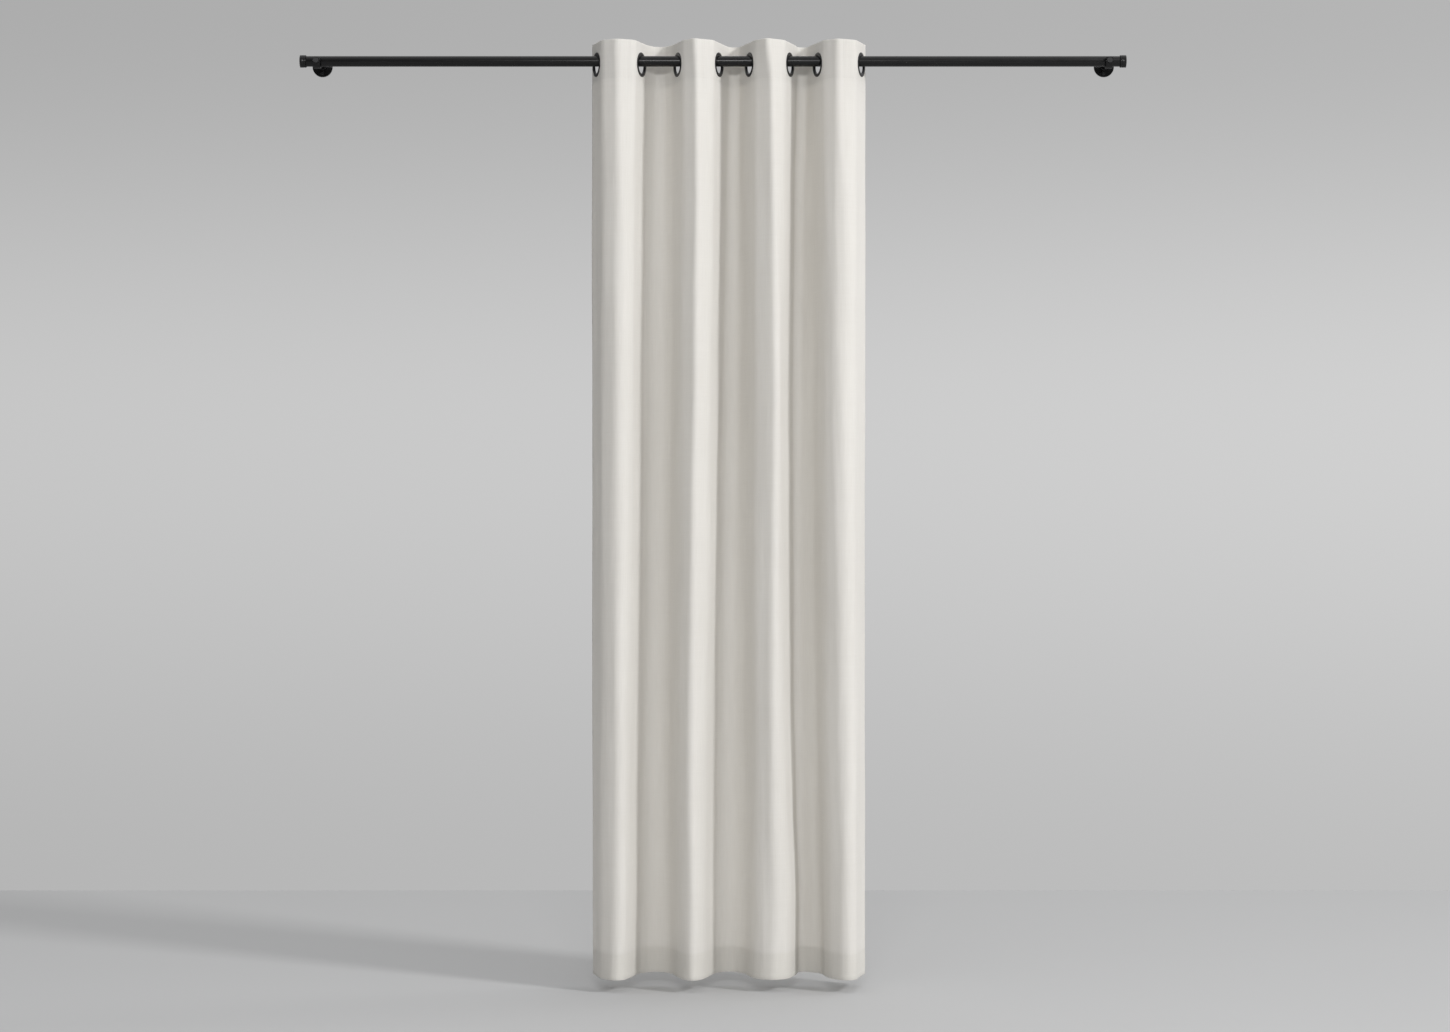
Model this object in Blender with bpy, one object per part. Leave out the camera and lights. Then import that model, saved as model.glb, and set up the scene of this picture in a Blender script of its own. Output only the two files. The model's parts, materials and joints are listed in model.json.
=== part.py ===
"""One eyelet curtain hanging on a wall-mounted curtain rod.

Frame: X runs along the rod, +Y points to the wall, +Z is up. The origin is the centre of the left
wall plate's back face, level with the rod's axis. All lengths are in metres.

The cloth is divided into one strip for each eyelet, from fold crest to fold crest. Each crest is a
vertical hinge, so the strips draw along the rod like a folding screen and every eyelet stays on it.
"""

import math

import bmesh
import bpy
from mathutils import Vector

# Rod
ROD_RADIUS = 0.014
ROD_WALL = 0.0012
ROD_FROM_WALL = 0.100
ROD_OVERHANG = 0.030
BRACKET_SPACING = 2.120
CAP_RADIUS = 0.0165
CAP_LENGTH = 0.016
SPIGOT_LENGTH = 0.024

# Wall brackets
PLATE_RADIUS = 0.027
PLATE_THICKNESS = 0.005
BOSS_RADIUS = 0.010
BOSS_HEIGHT = 0.011
ARM_RADIUS = 0.006
SOCKET_DEPTH = 0.008
SCREW_OFFSET = 0.0185
SCREW_SHANK_RADIUS = 0.0020
SCREW_HEAD_RADIUS = 0.0040
CRADLE_WIDTH = 0.014
CRADLE_WALL = 0.0045
CRADLE_CLEARANCE = 0.0005
CRADLE_TOP = 0.008
CRADLE_BOSS_WALL = 0.003
LOCK_SHANK_RADIUS = 0.0025
LOCK_KNOB_RADIUS = 0.008
LOCK_KNOB_LENGTH = 0.010
LOCK_STANDOFF = 0.0010

# Curtain panel
CLOTH_TOP = 0.050
CLOTH_BOTTOM = -2.450
CLOTH_THICKNESS = 0.0006
STIFFENER_THICKNESS = 0.0004
HEADER_DEPTH = 0.108
HEM_DEPTH = 0.070
EYELET_PITCH = 0.1838
RETURN_LENGTH = 0.057
RETURN_TURN = math.radians(40)
FIRST_EYELET_X = 0.749
EYELET_GAPS = (0.118, 0.099, 0.109, 0.083, 0.107, 0.076, 0.115)
STRIP_TILT = math.radians(20)

# Eyelets
EYELET_BORE = 0.0240
EYELET_OUTER = 0.0325
EYELET_BARREL_WALL = 0.0012
EYELET_FLANGE_THICKNESS = 0.0015
EYELET_HANG = 0.0090
EYELET_MARGIN = 0.0015

# Fits and fineness
GAP = 0.0003
HINGE_SETBACK = 0.0006
MERGE_DISTANCE = 0.000001
ROUND_SEGMENTS = 32
SMALL_SEGMENTS = 16
EYELET_SEGMENTS = 24
ARC_STEP = math.radians(15)
SMOOTH_ANGLE = math.radians(35)

SEAT_RADIUS = ROD_RADIUS + CRADLE_CLEARANCE
CRADLE_RADIUS = SEAT_RADIUS + CRADLE_WALL
STRIP_HEADING = math.pi / 2 - STRIP_TILT
HALF_PITCH = EYELET_PITCH / 2
FLAT_REACH = EYELET_OUTER + EYELET_MARGIN

# Where the cloth's layers lie, measured along the cloth's face normal from its middle plane
FACE_INNER = STIFFENER_THICKNESS / 2 + GAP
FACE_OUTER = FACE_INNER + CLOTH_THICKNESS
HEM_OUTER = FACE_INNER - GAP - CLOTH_THICKNESS


def clear_scene():
    for old in list(bpy.data.objects):
        bpy.data.objects.remove(old, do_unlink=True)


def finish_material(name, colour, roughness, metallic):
    material = bpy.data.materials.new(name)
    material.use_nodes = True
    shader = material.node_tree.nodes["Principled BSDF"]
    shader.inputs["Base Color"].default_value = (*colour, 1.0)
    shader.inputs["Roughness"].default_value = roughness
    shader.inputs["Metallic"].default_value = metallic
    material.diffuse_color = (*colour, 1.0)
    return material


def joint_empty(name, place, parent=None):
    """An empty on a joint's axis. place is in world coordinates."""
    empty = bpy.data.objects.new(name, None)
    empty.empty_display_size = 0.05
    bpy.context.scene.collection.objects.link(empty)
    return put(empty, place, parent)


def put(obj, place, parent=None):
    """Places an object at a world position under an unrotated parent."""
    anchor = Vector((0.0, 0.0, 0.0))
    if parent is not None:
        obj.parent = parent
        bpy.context.view_layer.update()
        anchor = parent.matrix_world.translation
    obj.location = Vector(place) - anchor
    bpy.context.view_layer.update()
    return obj


def piece(name, mesh, material, place, parent=None, turn=0.0):
    """A named solid with its material, at a world position, turned about Z."""
    if not mesh.materials:
        mesh.materials.append(material)
    obj = bpy.data.objects.new(name, mesh)
    bpy.context.scene.collection.objects.link(obj)
    obj.rotation_euler.z = turn
    return put(obj, place, parent)


def close_mesh(builder, name):
    """Turns a bmesh into a mesh with its faces pointing out, smooth where it is round."""
    bmesh.ops.recalc_face_normals(builder, faces=builder.faces)
    mesh = bpy.data.meshes.new(name)
    builder.to_mesh(mesh)
    builder.free()
    mesh.shade_smooth()
    mesh.set_sharp_from_angle(angle=SMOOTH_ANGLE)
    return mesh


def turned_mesh(name, profile, segments, ring=False):
    """A shape turned about its local Y axis from (radius, y) points. A ring's profile closes on itself."""
    builder = bmesh.new()
    points = [builder.verts.new((radius, along, 0.0)) for radius, along in profile]
    ends = points[1:] + points[:1] if ring else points[1:]
    edges = [builder.edges.new(pair) for pair in zip(points, ends)]
    bmesh.ops.spin(
        builder,
        geom=points + edges,
        cent=(0, 0, 0),
        axis=(0, 1, 0),
        angle=math.tau,
        steps=segments,
        use_merge=True,
    )
    bmesh.ops.remove_doubles(builder, verts=builder.verts, dist=MERGE_DISTANCE)
    return close_mesh(builder, name)


def cut(target, cutter_mesh, place, turn=0.0):
    """Cuts a hidden, wire-drawn shape out of the target with a Boolean."""
    cutter = bpy.data.objects.new(cutter_mesh.name, cutter_mesh)
    bpy.context.scene.collection.objects.link(cutter)
    cutter.rotation_euler.z = turn
    cutter.hide_render = True
    cutter.display_type = "WIRE"
    put(cutter, place)
    boolean = target.modifiers.new("cut_" + cutter_mesh.name, "BOOLEAN")
    boolean.operation = "DIFFERENCE"
    boolean.object = cutter


def join_to(target, added_mesh, place):
    """Adds a hidden shape to the target with a Boolean."""
    added = bpy.data.objects.new(added_mesh.name, added_mesh)
    bpy.context.scene.collection.objects.link(added)
    added.hide_render = True
    added.display_type = "WIRE"
    put(added, place)
    boolean = target.modifiers.new("join_" + added_mesh.name, "BOOLEAN")
    boolean.operation = "UNION"
    boolean.object = added


# Rod and its end caps


def rod_tube_mesh():
    half = BRACKET_SPACING / 2 + ROD_OVERHANG
    bore = ROD_RADIUS - ROD_WALL
    profile = [(ROD_RADIUS, -half), (ROD_RADIUS, half), (bore, half), (bore, -half)]
    mesh = turned_mesh("rod_tube", profile, ROUND_SEGMENTS, ring=True)
    return turned_to_x(mesh, 1)


def turned_to_x(mesh, side):
    """Lays a shape turned about Y along X, its +Y end towards +X for side 1 and towards -X for side -1."""
    builder = bmesh.new()
    builder.from_mesh(mesh)
    for vert in builder.verts:
        x, y, z = vert.co
        vert.co = (side * y, -side * x, z)
    builder.to_mesh(mesh)
    builder.free()
    return mesh


def end_cap_mesh(side):
    """A plain stopper: its spigot goes into the tube and its knob covers the tube's end."""
    spigot = ROD_RADIUS - ROD_WALL - GAP
    chamfer = 0.0015
    profile = [
        (0.0, -SPIGOT_LENGTH),
        (spigot - chamfer, -SPIGOT_LENGTH),
        (spigot, chamfer - SPIGOT_LENGTH),
        (spigot, GAP),
        (CAP_RADIUS - chamfer / 2, GAP),
        (CAP_RADIUS, GAP + chamfer / 2),
        (CAP_RADIUS, CAP_LENGTH - 2 * chamfer),
        (CAP_RADIUS - 2 * chamfer, CAP_LENGTH),
        (0.0, CAP_LENGTH),
    ]
    return turned_to_x(turned_mesh("end_cap", profile, ROUND_SEGMENTS), side)


def build_rod(metal):
    middle_x = BRACKET_SPACING / 2
    rod_axis = joint_empty("rod_lift_axis", (middle_x, -ROD_FROM_WALL, 0.0))
    piece("rod_tube", rod_tube_mesh(), metal, (middle_x, -ROD_FROM_WALL, 0.0), rod_axis)
    for side, label in ((-1, "left"), (1, "right")):
        end_x = middle_x + side * (middle_x + ROD_OVERHANG)
        piece("end_cap_" + label, end_cap_mesh(side), metal, (end_x, -ROD_FROM_WALL, 0.0), rod_axis)
    return rod_axis


# Wall brackets


def wall_plate_mesh():
    """A round plate on the wall with a boss in front, bored for the arm."""
    chamfer = 0.001
    boss_front = -PLATE_THICKNESS - BOSS_HEIGHT
    socket = ARM_RADIUS + GAP
    profile = [
        (0.0, 0.0),
        (PLATE_RADIUS, 0.0),
        (PLATE_RADIUS, chamfer - PLATE_THICKNESS),
        (PLATE_RADIUS - chamfer, -PLATE_THICKNESS),
        (BOSS_RADIUS, -PLATE_THICKNESS),
        (BOSS_RADIUS, boss_front + chamfer),
        (BOSS_RADIUS - chamfer, boss_front),
        (socket, boss_front),
        (socket, boss_front + SOCKET_DEPTH),
        (0.0, boss_front + SOCKET_DEPTH),
    ]
    return turned_mesh("wall_plate", profile, ROUND_SEGMENTS)


def screw_hole_mesh():
    """A clearance hole with a countersink, along Y, with its front at y = -PLATE_THICKNESS."""
    shank = SCREW_SHANK_RADIUS + GAP
    head = SCREW_HEAD_RADIUS + GAP
    front = -PLATE_THICKNESS
    beyond = 0.001
    profile = [
        (0.0, front - beyond),
        (head, front - beyond),
        (head, front),
        (shank, front + head - shank),
        (shank, beyond),
        (0.0, beyond),
    ]
    return turned_mesh("screw_hole", profile, SMALL_SEGMENTS)


def wall_screw_mesh():
    """A countersunk screw, cut off at the wall's face."""
    drive_radius = 0.0015
    drive_depth = 0.0012
    front = -PLATE_THICKNESS + GAP / 2
    profile = [
        (0.0, front + drive_depth),
        (drive_radius, front + drive_depth),
        (drive_radius, front),
        (SCREW_HEAD_RADIUS, front),
        (SCREW_SHANK_RADIUS, front + SCREW_HEAD_RADIUS - SCREW_SHANK_RADIUS),
        (SCREW_SHANK_RADIUS, -GAP),
        (0.0, -GAP),
    ]
    return turned_mesh("wall_screw", profile, SMALL_SEGMENTS)


def arm_mesh():
    wall_end = -PLATE_THICKNESS - BOSS_HEIGHT + SOCKET_DEPTH - GAP
    rod_end = -ROD_FROM_WALL + CRADLE_RADIUS + GAP
    chamfer = 0.0008
    profile = [
        (0.0, wall_end),
        (ARM_RADIUS - chamfer, wall_end),
        (ARM_RADIUS, wall_end - chamfer),
        (ARM_RADIUS, rod_end + chamfer),
        (ARM_RADIUS - chamfer, rod_end),
        (0.0, rod_end),
    ]
    return turned_mesh("bracket_arm", profile, SMALL_SEGMENTS)


def cradle_outline():
    """The open-topped hook in (y, z) about the rod's axis: outer arc, then inner arc back."""
    steps = 12
    outline = [(CRADLE_RADIUS, CRADLE_TOP)]
    for step in range(steps + 1):
        angle = -math.pi * step / steps
        outline.append((CRADLE_RADIUS * math.cos(angle), CRADLE_RADIUS * math.sin(angle)))
    outline += [(-CRADLE_RADIUS, CRADLE_TOP), (-SEAT_RADIUS, CRADLE_TOP)]
    for step in range(steps + 1):
        angle = math.pi * step / steps - math.pi
        outline.append((SEAT_RADIUS * math.cos(angle), SEAT_RADIUS * math.sin(angle)))
    outline.append((SEAT_RADIUS, CRADLE_TOP))
    return outline


def extruded_outline_mesh(name, outline, width):
    """An outline in (y, z), extruded along X about its middle."""
    builder = bmesh.new()
    verts = [builder.verts.new((-width / 2, y, z)) for y, z in outline]
    face = builder.faces.new(verts)
    moved = bmesh.ops.extrude_face_region(builder, geom=[face], use_keep_orig=True)["geom"]
    moved_verts = [item for item in moved if isinstance(item, bmesh.types.BMVert)]
    bmesh.ops.translate(builder, verts=moved_verts, vec=(width, 0.0, 0.0))
    return close_mesh(builder, name)


def cradle_boss_mesh():
    """The boss behind the cradle that takes the arm's end, about the rod's axis."""
    inner = CRADLE_RADIUS - CRADLE_WALL / 2
    outer = CRADLE_RADIUS + SOCKET_DEPTH
    radius = ARM_RADIUS + CRADLE_BOSS_WALL
    profile = [(0.0, inner), (radius, inner), (radius, outer), (0.0, outer)]
    return turned_mesh("cradle_boss", profile, SMALL_SEGMENTS)


def plug_mesh(name, radius, start, end, segments=SMALL_SEGMENTS):
    profile = [(0.0, start), (radius, start), (radius, end), (0.0, end)]
    return turned_mesh(name, profile, segments)


def lock_screw_mesh():
    """A thumbscrew along Y about the rod's axis, its tip just off the rod's front."""
    tip = -ROD_RADIUS - GAP
    knob_back = -CRADLE_RADIUS - LOCK_STANDOFF
    knob_front = knob_back - LOCK_KNOB_LENGTH
    chamfer = 0.001
    profile = [
        (0.0, tip),
        (LOCK_SHANK_RADIUS, tip),
        (LOCK_SHANK_RADIUS, knob_back),
        (LOCK_KNOB_RADIUS - chamfer, knob_back),
        (LOCK_KNOB_RADIUS, knob_back - chamfer),
        (LOCK_KNOB_RADIUS, knob_front + chamfer),
        (LOCK_KNOB_RADIUS - chamfer, knob_front),
        (0.0, knob_front),
    ]
    return turned_mesh("lock_screw", profile, SMALL_SEGMENTS)


def build_bracket(label, x, metal, screw_metal):
    """One bracket: wall plate, two wall screws, arm, cradle and its locking thumbscrew."""
    rod_place = (x, -ROD_FROM_WALL, 0.0)
    plate = piece("wall_plate_" + label, wall_plate_mesh(), metal, (x, 0.0, 0.0))
    for name, z in (("upper", SCREW_OFFSET), ("lower", -SCREW_OFFSET)):
        cut(plate, screw_hole_mesh(), (x, 0.0, z))
        piece("wall_screw_" + label + "_" + name, wall_screw_mesh(), screw_metal, (x, 0.0, z))
    piece("bracket_arm_" + label, arm_mesh(), metal, (x, 0.0, 0.0))
    cradle_mesh = extruded_outline_mesh("rod_cradle", cradle_outline(), CRADLE_WIDTH)
    cradle = piece("rod_cradle_" + label, cradle_mesh, metal, rod_place)
    join_to(cradle, cradle_boss_mesh(), rod_place)
    socket = plug_mesh("arm_socket", ARM_RADIUS + GAP, CRADLE_RADIUS, CRADLE_RADIUS + 2 * SOCKET_DEPTH)
    cut(cradle, socket, rod_place)
    screw_way = plug_mesh("lock_hole", LOCK_SHANK_RADIUS + GAP, -2 * CRADLE_RADIUS, -ROD_RADIUS / 2)
    cut(cradle, screw_way, rod_place)
    slide_axis = joint_empty("lock_screw_" + label + "_axis", rod_place)
    piece("lock_screw_" + label, lock_screw_mesh(), screw_metal, rod_place, slide_axis)


# Curtain


def half_fold_runs(gap):
    """The cloth's course from an eyelet to the crest halfway to the next one.

    It is (length, first heading, last heading) runs: flat past the eyelet's flange, round, then flat at
    the crest if there is cloth to spare. A heading of 0 is along the rod. The runs use up half the
    cloth between two eyelets and half the gap between them.
    """
    across = gap / 2
    lean = math.sin(STRIP_TILT)
    round_width = math.cos(STRIP_TILT)
    radius = (across - HALF_PITCH * lean) / (round_width - STRIP_HEADING * lean)
    straight = HALF_PITCH - radius * STRIP_HEADING
    crest = 0.0
    if straight < FLAT_REACH:
        straight = FLAT_REACH
        spare_length = HALF_PITCH - straight
        spare_width = across - straight * lean
        radius = (spare_length - spare_width) / (STRIP_HEADING - round_width)
        crest = spare_length - radius * STRIP_HEADING
    runs = [(straight, STRIP_HEADING, STRIP_HEADING), (radius * STRIP_HEADING, STRIP_HEADING, 0.0)]
    if crest > HINGE_SETBACK:
        runs.append((crest, 0.0, 0.0))
    return runs


def return_runs():
    """The loose edge past the first or last eyelet, which curls back in."""
    curl = RETURN_LENGTH - FLAT_REACH
    return [
        (FLAT_REACH, STRIP_HEADING, STRIP_HEADING),
        (curl, STRIP_HEADING, STRIP_HEADING + RETURN_TURN),
    ]


def fold_depth(gap):
    """How far the crest stands off the rod's axis."""
    return walk(half_fold_runs(gap))[-1][1]


def shortened(runs, amount):
    """The same runs with their far end cut back."""
    length, first, last = runs[-1]
    kept = length - amount
    return runs[:-1] + [(kept, first, first + (last - first) * kept / length)]


def walk(runs):
    """(x, y, heading) at each station from the eyelet to the end of the runs."""
    x, y = 0.0, 0.0
    stations = [(x, y, runs[0][1])]
    for length, first, last in runs:
        steps = max(1, math.ceil(abs(last - first) / ARC_STEP))
        for step in range(steps):
            start = first + (last - first) * step / steps
            end = first + (last - first) * (step + 1) / steps
            middle = (start + end) / 2
            half_turn = (end - start) / 2
            chord = length / steps * (math.sin(half_turn) / half_turn if half_turn else 1.0)
            x += chord * math.cos(middle)
            y += chord * math.sin(middle)
            stations.append((x, y, end))
    return stations


def strip_course(before, after, side):
    """Stations across one strip, left to right, about its eyelet.

    side is -1 where the cloth comes forwards to the right and 1 where it goes back.
    """
    left = [(-x, -side * y, side * heading) for x, y, heading in walk(before)]
    right = [(x, side * y, side * heading) for x, y, heading in walk(after)]
    return left[:0:-1] + right


def cloth_section():
    """The cloth's upright section in (offset, z): the face, with header and hem turned to the back."""
    top_inside = CLOTH_TOP - CLOTH_THICKNESS
    bottom_inside = CLOTH_BOTTOM + CLOTH_THICKNESS
    header_end = CLOTH_TOP - HEADER_DEPTH
    hem_end = CLOTH_BOTTOM + HEM_DEPTH
    hem_inner = FACE_INNER - GAP
    return [
        (FACE_OUTER, CLOTH_BOTTOM),
        (FACE_OUTER, CLOTH_TOP),
        (-FACE_OUTER, CLOTH_TOP),
        (-FACE_OUTER, header_end),
        (-FACE_INNER, header_end),
        (-FACE_INNER, top_inside),
        (FACE_INNER, top_inside),
        (FACE_INNER, bottom_inside),
        (hem_inner, bottom_inside),
        (hem_inner, hem_end),
        (HEM_OUTER, hem_end),
        (HEM_OUTER, CLOTH_BOTTOM),
    ]


def stiffener_section():
    """The heading tape's section, inside the header."""
    half = STIFFENER_THICKNESS / 2
    top = CLOTH_TOP - CLOTH_THICKNESS - GAP
    bottom = CLOTH_TOP - HEADER_DEPTH
    return [(half, bottom), (half, top), (-half, top), (-half, bottom)]


def swept_mesh(name, course, section):
    """Sweeps an upright section along a course in plan. Positive offsets lie on the cloth's face."""
    builder = bmesh.new()
    rings = []
    for x, y, heading in course:
        place = Vector((x, y, 0.0))
        normal = Vector((math.sin(heading), -math.cos(heading), 0.0))
        corners = [place + normal * offset + Vector((0.0, 0.0, z)) for offset, z in section]
        rings.append([builder.verts.new(corner) for corner in corners])
    for ring, following in zip(rings, rings[1:]):
        for index in range(len(section)):
            near = index - 1
            builder.faces.new((ring[near], ring[index], following[index], following[near]))
    builder.faces.new(rings[0])
    builder.faces.new(rings[-1])
    return close_mesh(builder, name)


def eyelet_ring_mesh():
    """The front half of an eyelet: flange on the cloth's face, barrel through the cloth."""
    barrel = EYELET_BORE + EYELET_BARREL_WALL
    back = FACE_OUTER + GAP
    front = back + EYELET_FLANGE_THICKNESS
    edge = EYELET_FLANGE_THICKNESS / 3
    chamfer = 0.0004
    profile = [
        (EYELET_BORE, -front + chamfer),
        (EYELET_BORE + chamfer, -front),
        (EYELET_OUTER - 3 * edge, -front),
        (EYELET_OUTER, -back - edge),
        (EYELET_OUTER, -back),
        (barrel, -back),
        (barrel, front),
        (EYELET_BORE + chamfer, front),
        (EYELET_BORE, front - chamfer),
    ]
    return turned_mesh("eyelet_ring", profile, EYELET_SEGMENTS, ring=True)


def eyelet_washer_mesh():
    """The back half of an eyelet, which snaps onto the barrel behind the cloth."""
    bore = EYELET_BORE + EYELET_BARREL_WALL + GAP
    front = FACE_OUTER + GAP
    back = front + EYELET_FLANGE_THICKNESS
    edge = EYELET_FLANGE_THICKNESS / 3
    profile = [
        (bore, front),
        (EYELET_OUTER, front),
        (EYELET_OUTER, front + edge),
        (EYELET_OUTER - 3 * edge, back),
        (bore, back),
    ]
    return turned_mesh("eyelet_washer", profile, EYELET_SEGMENTS, ring=True)


def build_curtain(rod_axis, cloth, tape, metal):
    """Eight strips of one panel, each with its eyelet, chained by hinges at the fold crests."""
    count = len(EYELET_GAPS) + 1
    hole_radius = EYELET_BORE + EYELET_BARREL_WALL + GAP
    ring_mesh = eyelet_ring_mesh()
    washer_mesh = eyelet_washer_mesh()
    hole_reach = EYELET_OUTER / 2
    hole = (hole_radius, -hole_reach, hole_reach, EYELET_SEGMENTS)
    eyelet_x = FIRST_EYELET_X
    hinge = joint_empty("strip_1_axis", (eyelet_x, -ROD_FROM_WALL, 0.0), rod_axis)
    for number in range(1, count + 1):
        side = -1 if number % 2 else 1
        before = return_runs()
        after = return_runs()
        if number > 1:
            before = shortened(half_fold_runs(EYELET_GAPS[number - 2]), HINGE_SETBACK)
        if number < count:
            after = shortened(half_fold_runs(EYELET_GAPS[number - 1]), HINGE_SETBACK)
        course = strip_course(before, after, side)
        place = (eyelet_x, -ROD_FROM_WALL, 0.0)
        eyelet_place = (eyelet_x, -ROD_FROM_WALL, -EYELET_HANG)
        turn = side * STRIP_HEADING
        cloth_mesh = swept_mesh("cloth_strip", course, cloth_section())
        strip = piece(f"cloth_strip_{number}", cloth_mesh, cloth, place, hinge)
        stiffener_mesh = swept_mesh("header_stiffener", course, stiffener_section())
        stiffener = piece(f"header_stiffener_{number}", stiffener_mesh, tape, place, hinge)
        for layer in (strip, stiffener):
            cut(layer, plug_mesh("eyelet_hole", *hole), eyelet_place, turn)
        piece(f"eyelet_ring_{number}", ring_mesh, metal, eyelet_place, hinge, turn)
        piece(f"eyelet_washer_{number}", washer_mesh, metal, eyelet_place, hinge, turn)
        if number < count:
            gap = EYELET_GAPS[number - 1]
            crest = (eyelet_x + gap / 2, -ROD_FROM_WALL + side * fold_depth(gap), 0.0)
            hinge = joint_empty(f"strip_{number + 1}_axis", crest, hinge)
            eyelet_x += gap


def main():
    clear_scene()
    black_metal = finish_material("black_satin_metal", (0.018, 0.018, 0.020), 0.38, 1.0)
    screw_metal = finish_material("black_screw_metal", (0.025, 0.025, 0.027), 0.45, 1.0)
    cloth = finish_material("linen_cloth", (0.78, 0.76, 0.72), 0.9, 0.0)
    tape = finish_material("heading_tape", (0.86, 0.86, 0.84), 0.8, 0.0)
    eyelet_metal = finish_material("eyelet_metal", (0.020, 0.020, 0.022), 0.35, 1.0)
    rod_axis = build_rod(black_metal)
    build_bracket("left", 0.0, black_metal, screw_metal)
    build_bracket("right", BRACKET_SPACING, black_metal, screw_metal)
    build_curtain(rod_axis, cloth, tape, eyelet_metal)


main()
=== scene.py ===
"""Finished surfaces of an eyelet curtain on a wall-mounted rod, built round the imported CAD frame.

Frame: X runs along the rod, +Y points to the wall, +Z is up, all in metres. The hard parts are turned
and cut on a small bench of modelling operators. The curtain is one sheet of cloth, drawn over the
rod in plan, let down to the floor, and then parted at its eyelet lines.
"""

from __future__ import annotations

import json
import logging
import math
from collections.abc import Callable, Sequence
from dataclasses import dataclass, field
from enum import Enum

import bmesh
import bpy
import numpy as np
from mathutils import Matrix, Vector, noise

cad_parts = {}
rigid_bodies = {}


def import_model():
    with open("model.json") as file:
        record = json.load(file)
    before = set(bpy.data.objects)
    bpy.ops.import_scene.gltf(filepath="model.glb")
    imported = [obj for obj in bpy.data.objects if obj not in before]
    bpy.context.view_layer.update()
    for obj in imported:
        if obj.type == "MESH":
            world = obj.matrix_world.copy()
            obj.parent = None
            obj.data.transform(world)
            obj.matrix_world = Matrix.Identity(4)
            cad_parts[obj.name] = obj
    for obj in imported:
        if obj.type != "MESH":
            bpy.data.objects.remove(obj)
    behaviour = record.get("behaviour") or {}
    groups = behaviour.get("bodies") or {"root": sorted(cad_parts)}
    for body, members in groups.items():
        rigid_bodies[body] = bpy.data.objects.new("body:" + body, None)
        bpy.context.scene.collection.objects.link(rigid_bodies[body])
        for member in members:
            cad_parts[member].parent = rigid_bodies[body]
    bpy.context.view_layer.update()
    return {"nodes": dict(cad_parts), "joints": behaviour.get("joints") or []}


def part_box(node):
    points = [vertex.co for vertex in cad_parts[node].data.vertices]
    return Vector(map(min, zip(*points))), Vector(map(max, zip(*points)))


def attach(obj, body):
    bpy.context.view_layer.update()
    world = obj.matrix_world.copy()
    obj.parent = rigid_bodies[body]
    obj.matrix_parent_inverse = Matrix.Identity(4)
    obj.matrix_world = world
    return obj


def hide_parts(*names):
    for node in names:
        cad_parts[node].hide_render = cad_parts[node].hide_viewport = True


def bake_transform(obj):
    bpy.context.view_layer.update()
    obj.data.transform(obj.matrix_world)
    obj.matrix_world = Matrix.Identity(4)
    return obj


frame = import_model()

log = logging.getLogger("curtain")

UV_NAME = "cloth_metres"
# Marks where the cloth is doubled, for a painted shade there.
DOUBLED_SHADE_NAME = "doubled_cloth_shade"
WAVE_PERIOD = math.tau / 20.0
OUTWARD = Vector((0, -1, 0))

Socket = bpy.types.NodeSocket
Triple = tuple[float, float, float]


class Side(Enum):
    """The two ends of the rod."""

    LEFT = "left"
    RIGHT = "right"


class Layer(Enum):
    """Which side of the cloth a seam's thread lies on."""

    FACE = 1
    BACK = -1


# ---------------------------------------------------------------------------------------------
# Finishes
# ---------------------------------------------------------------------------------------------


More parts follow.
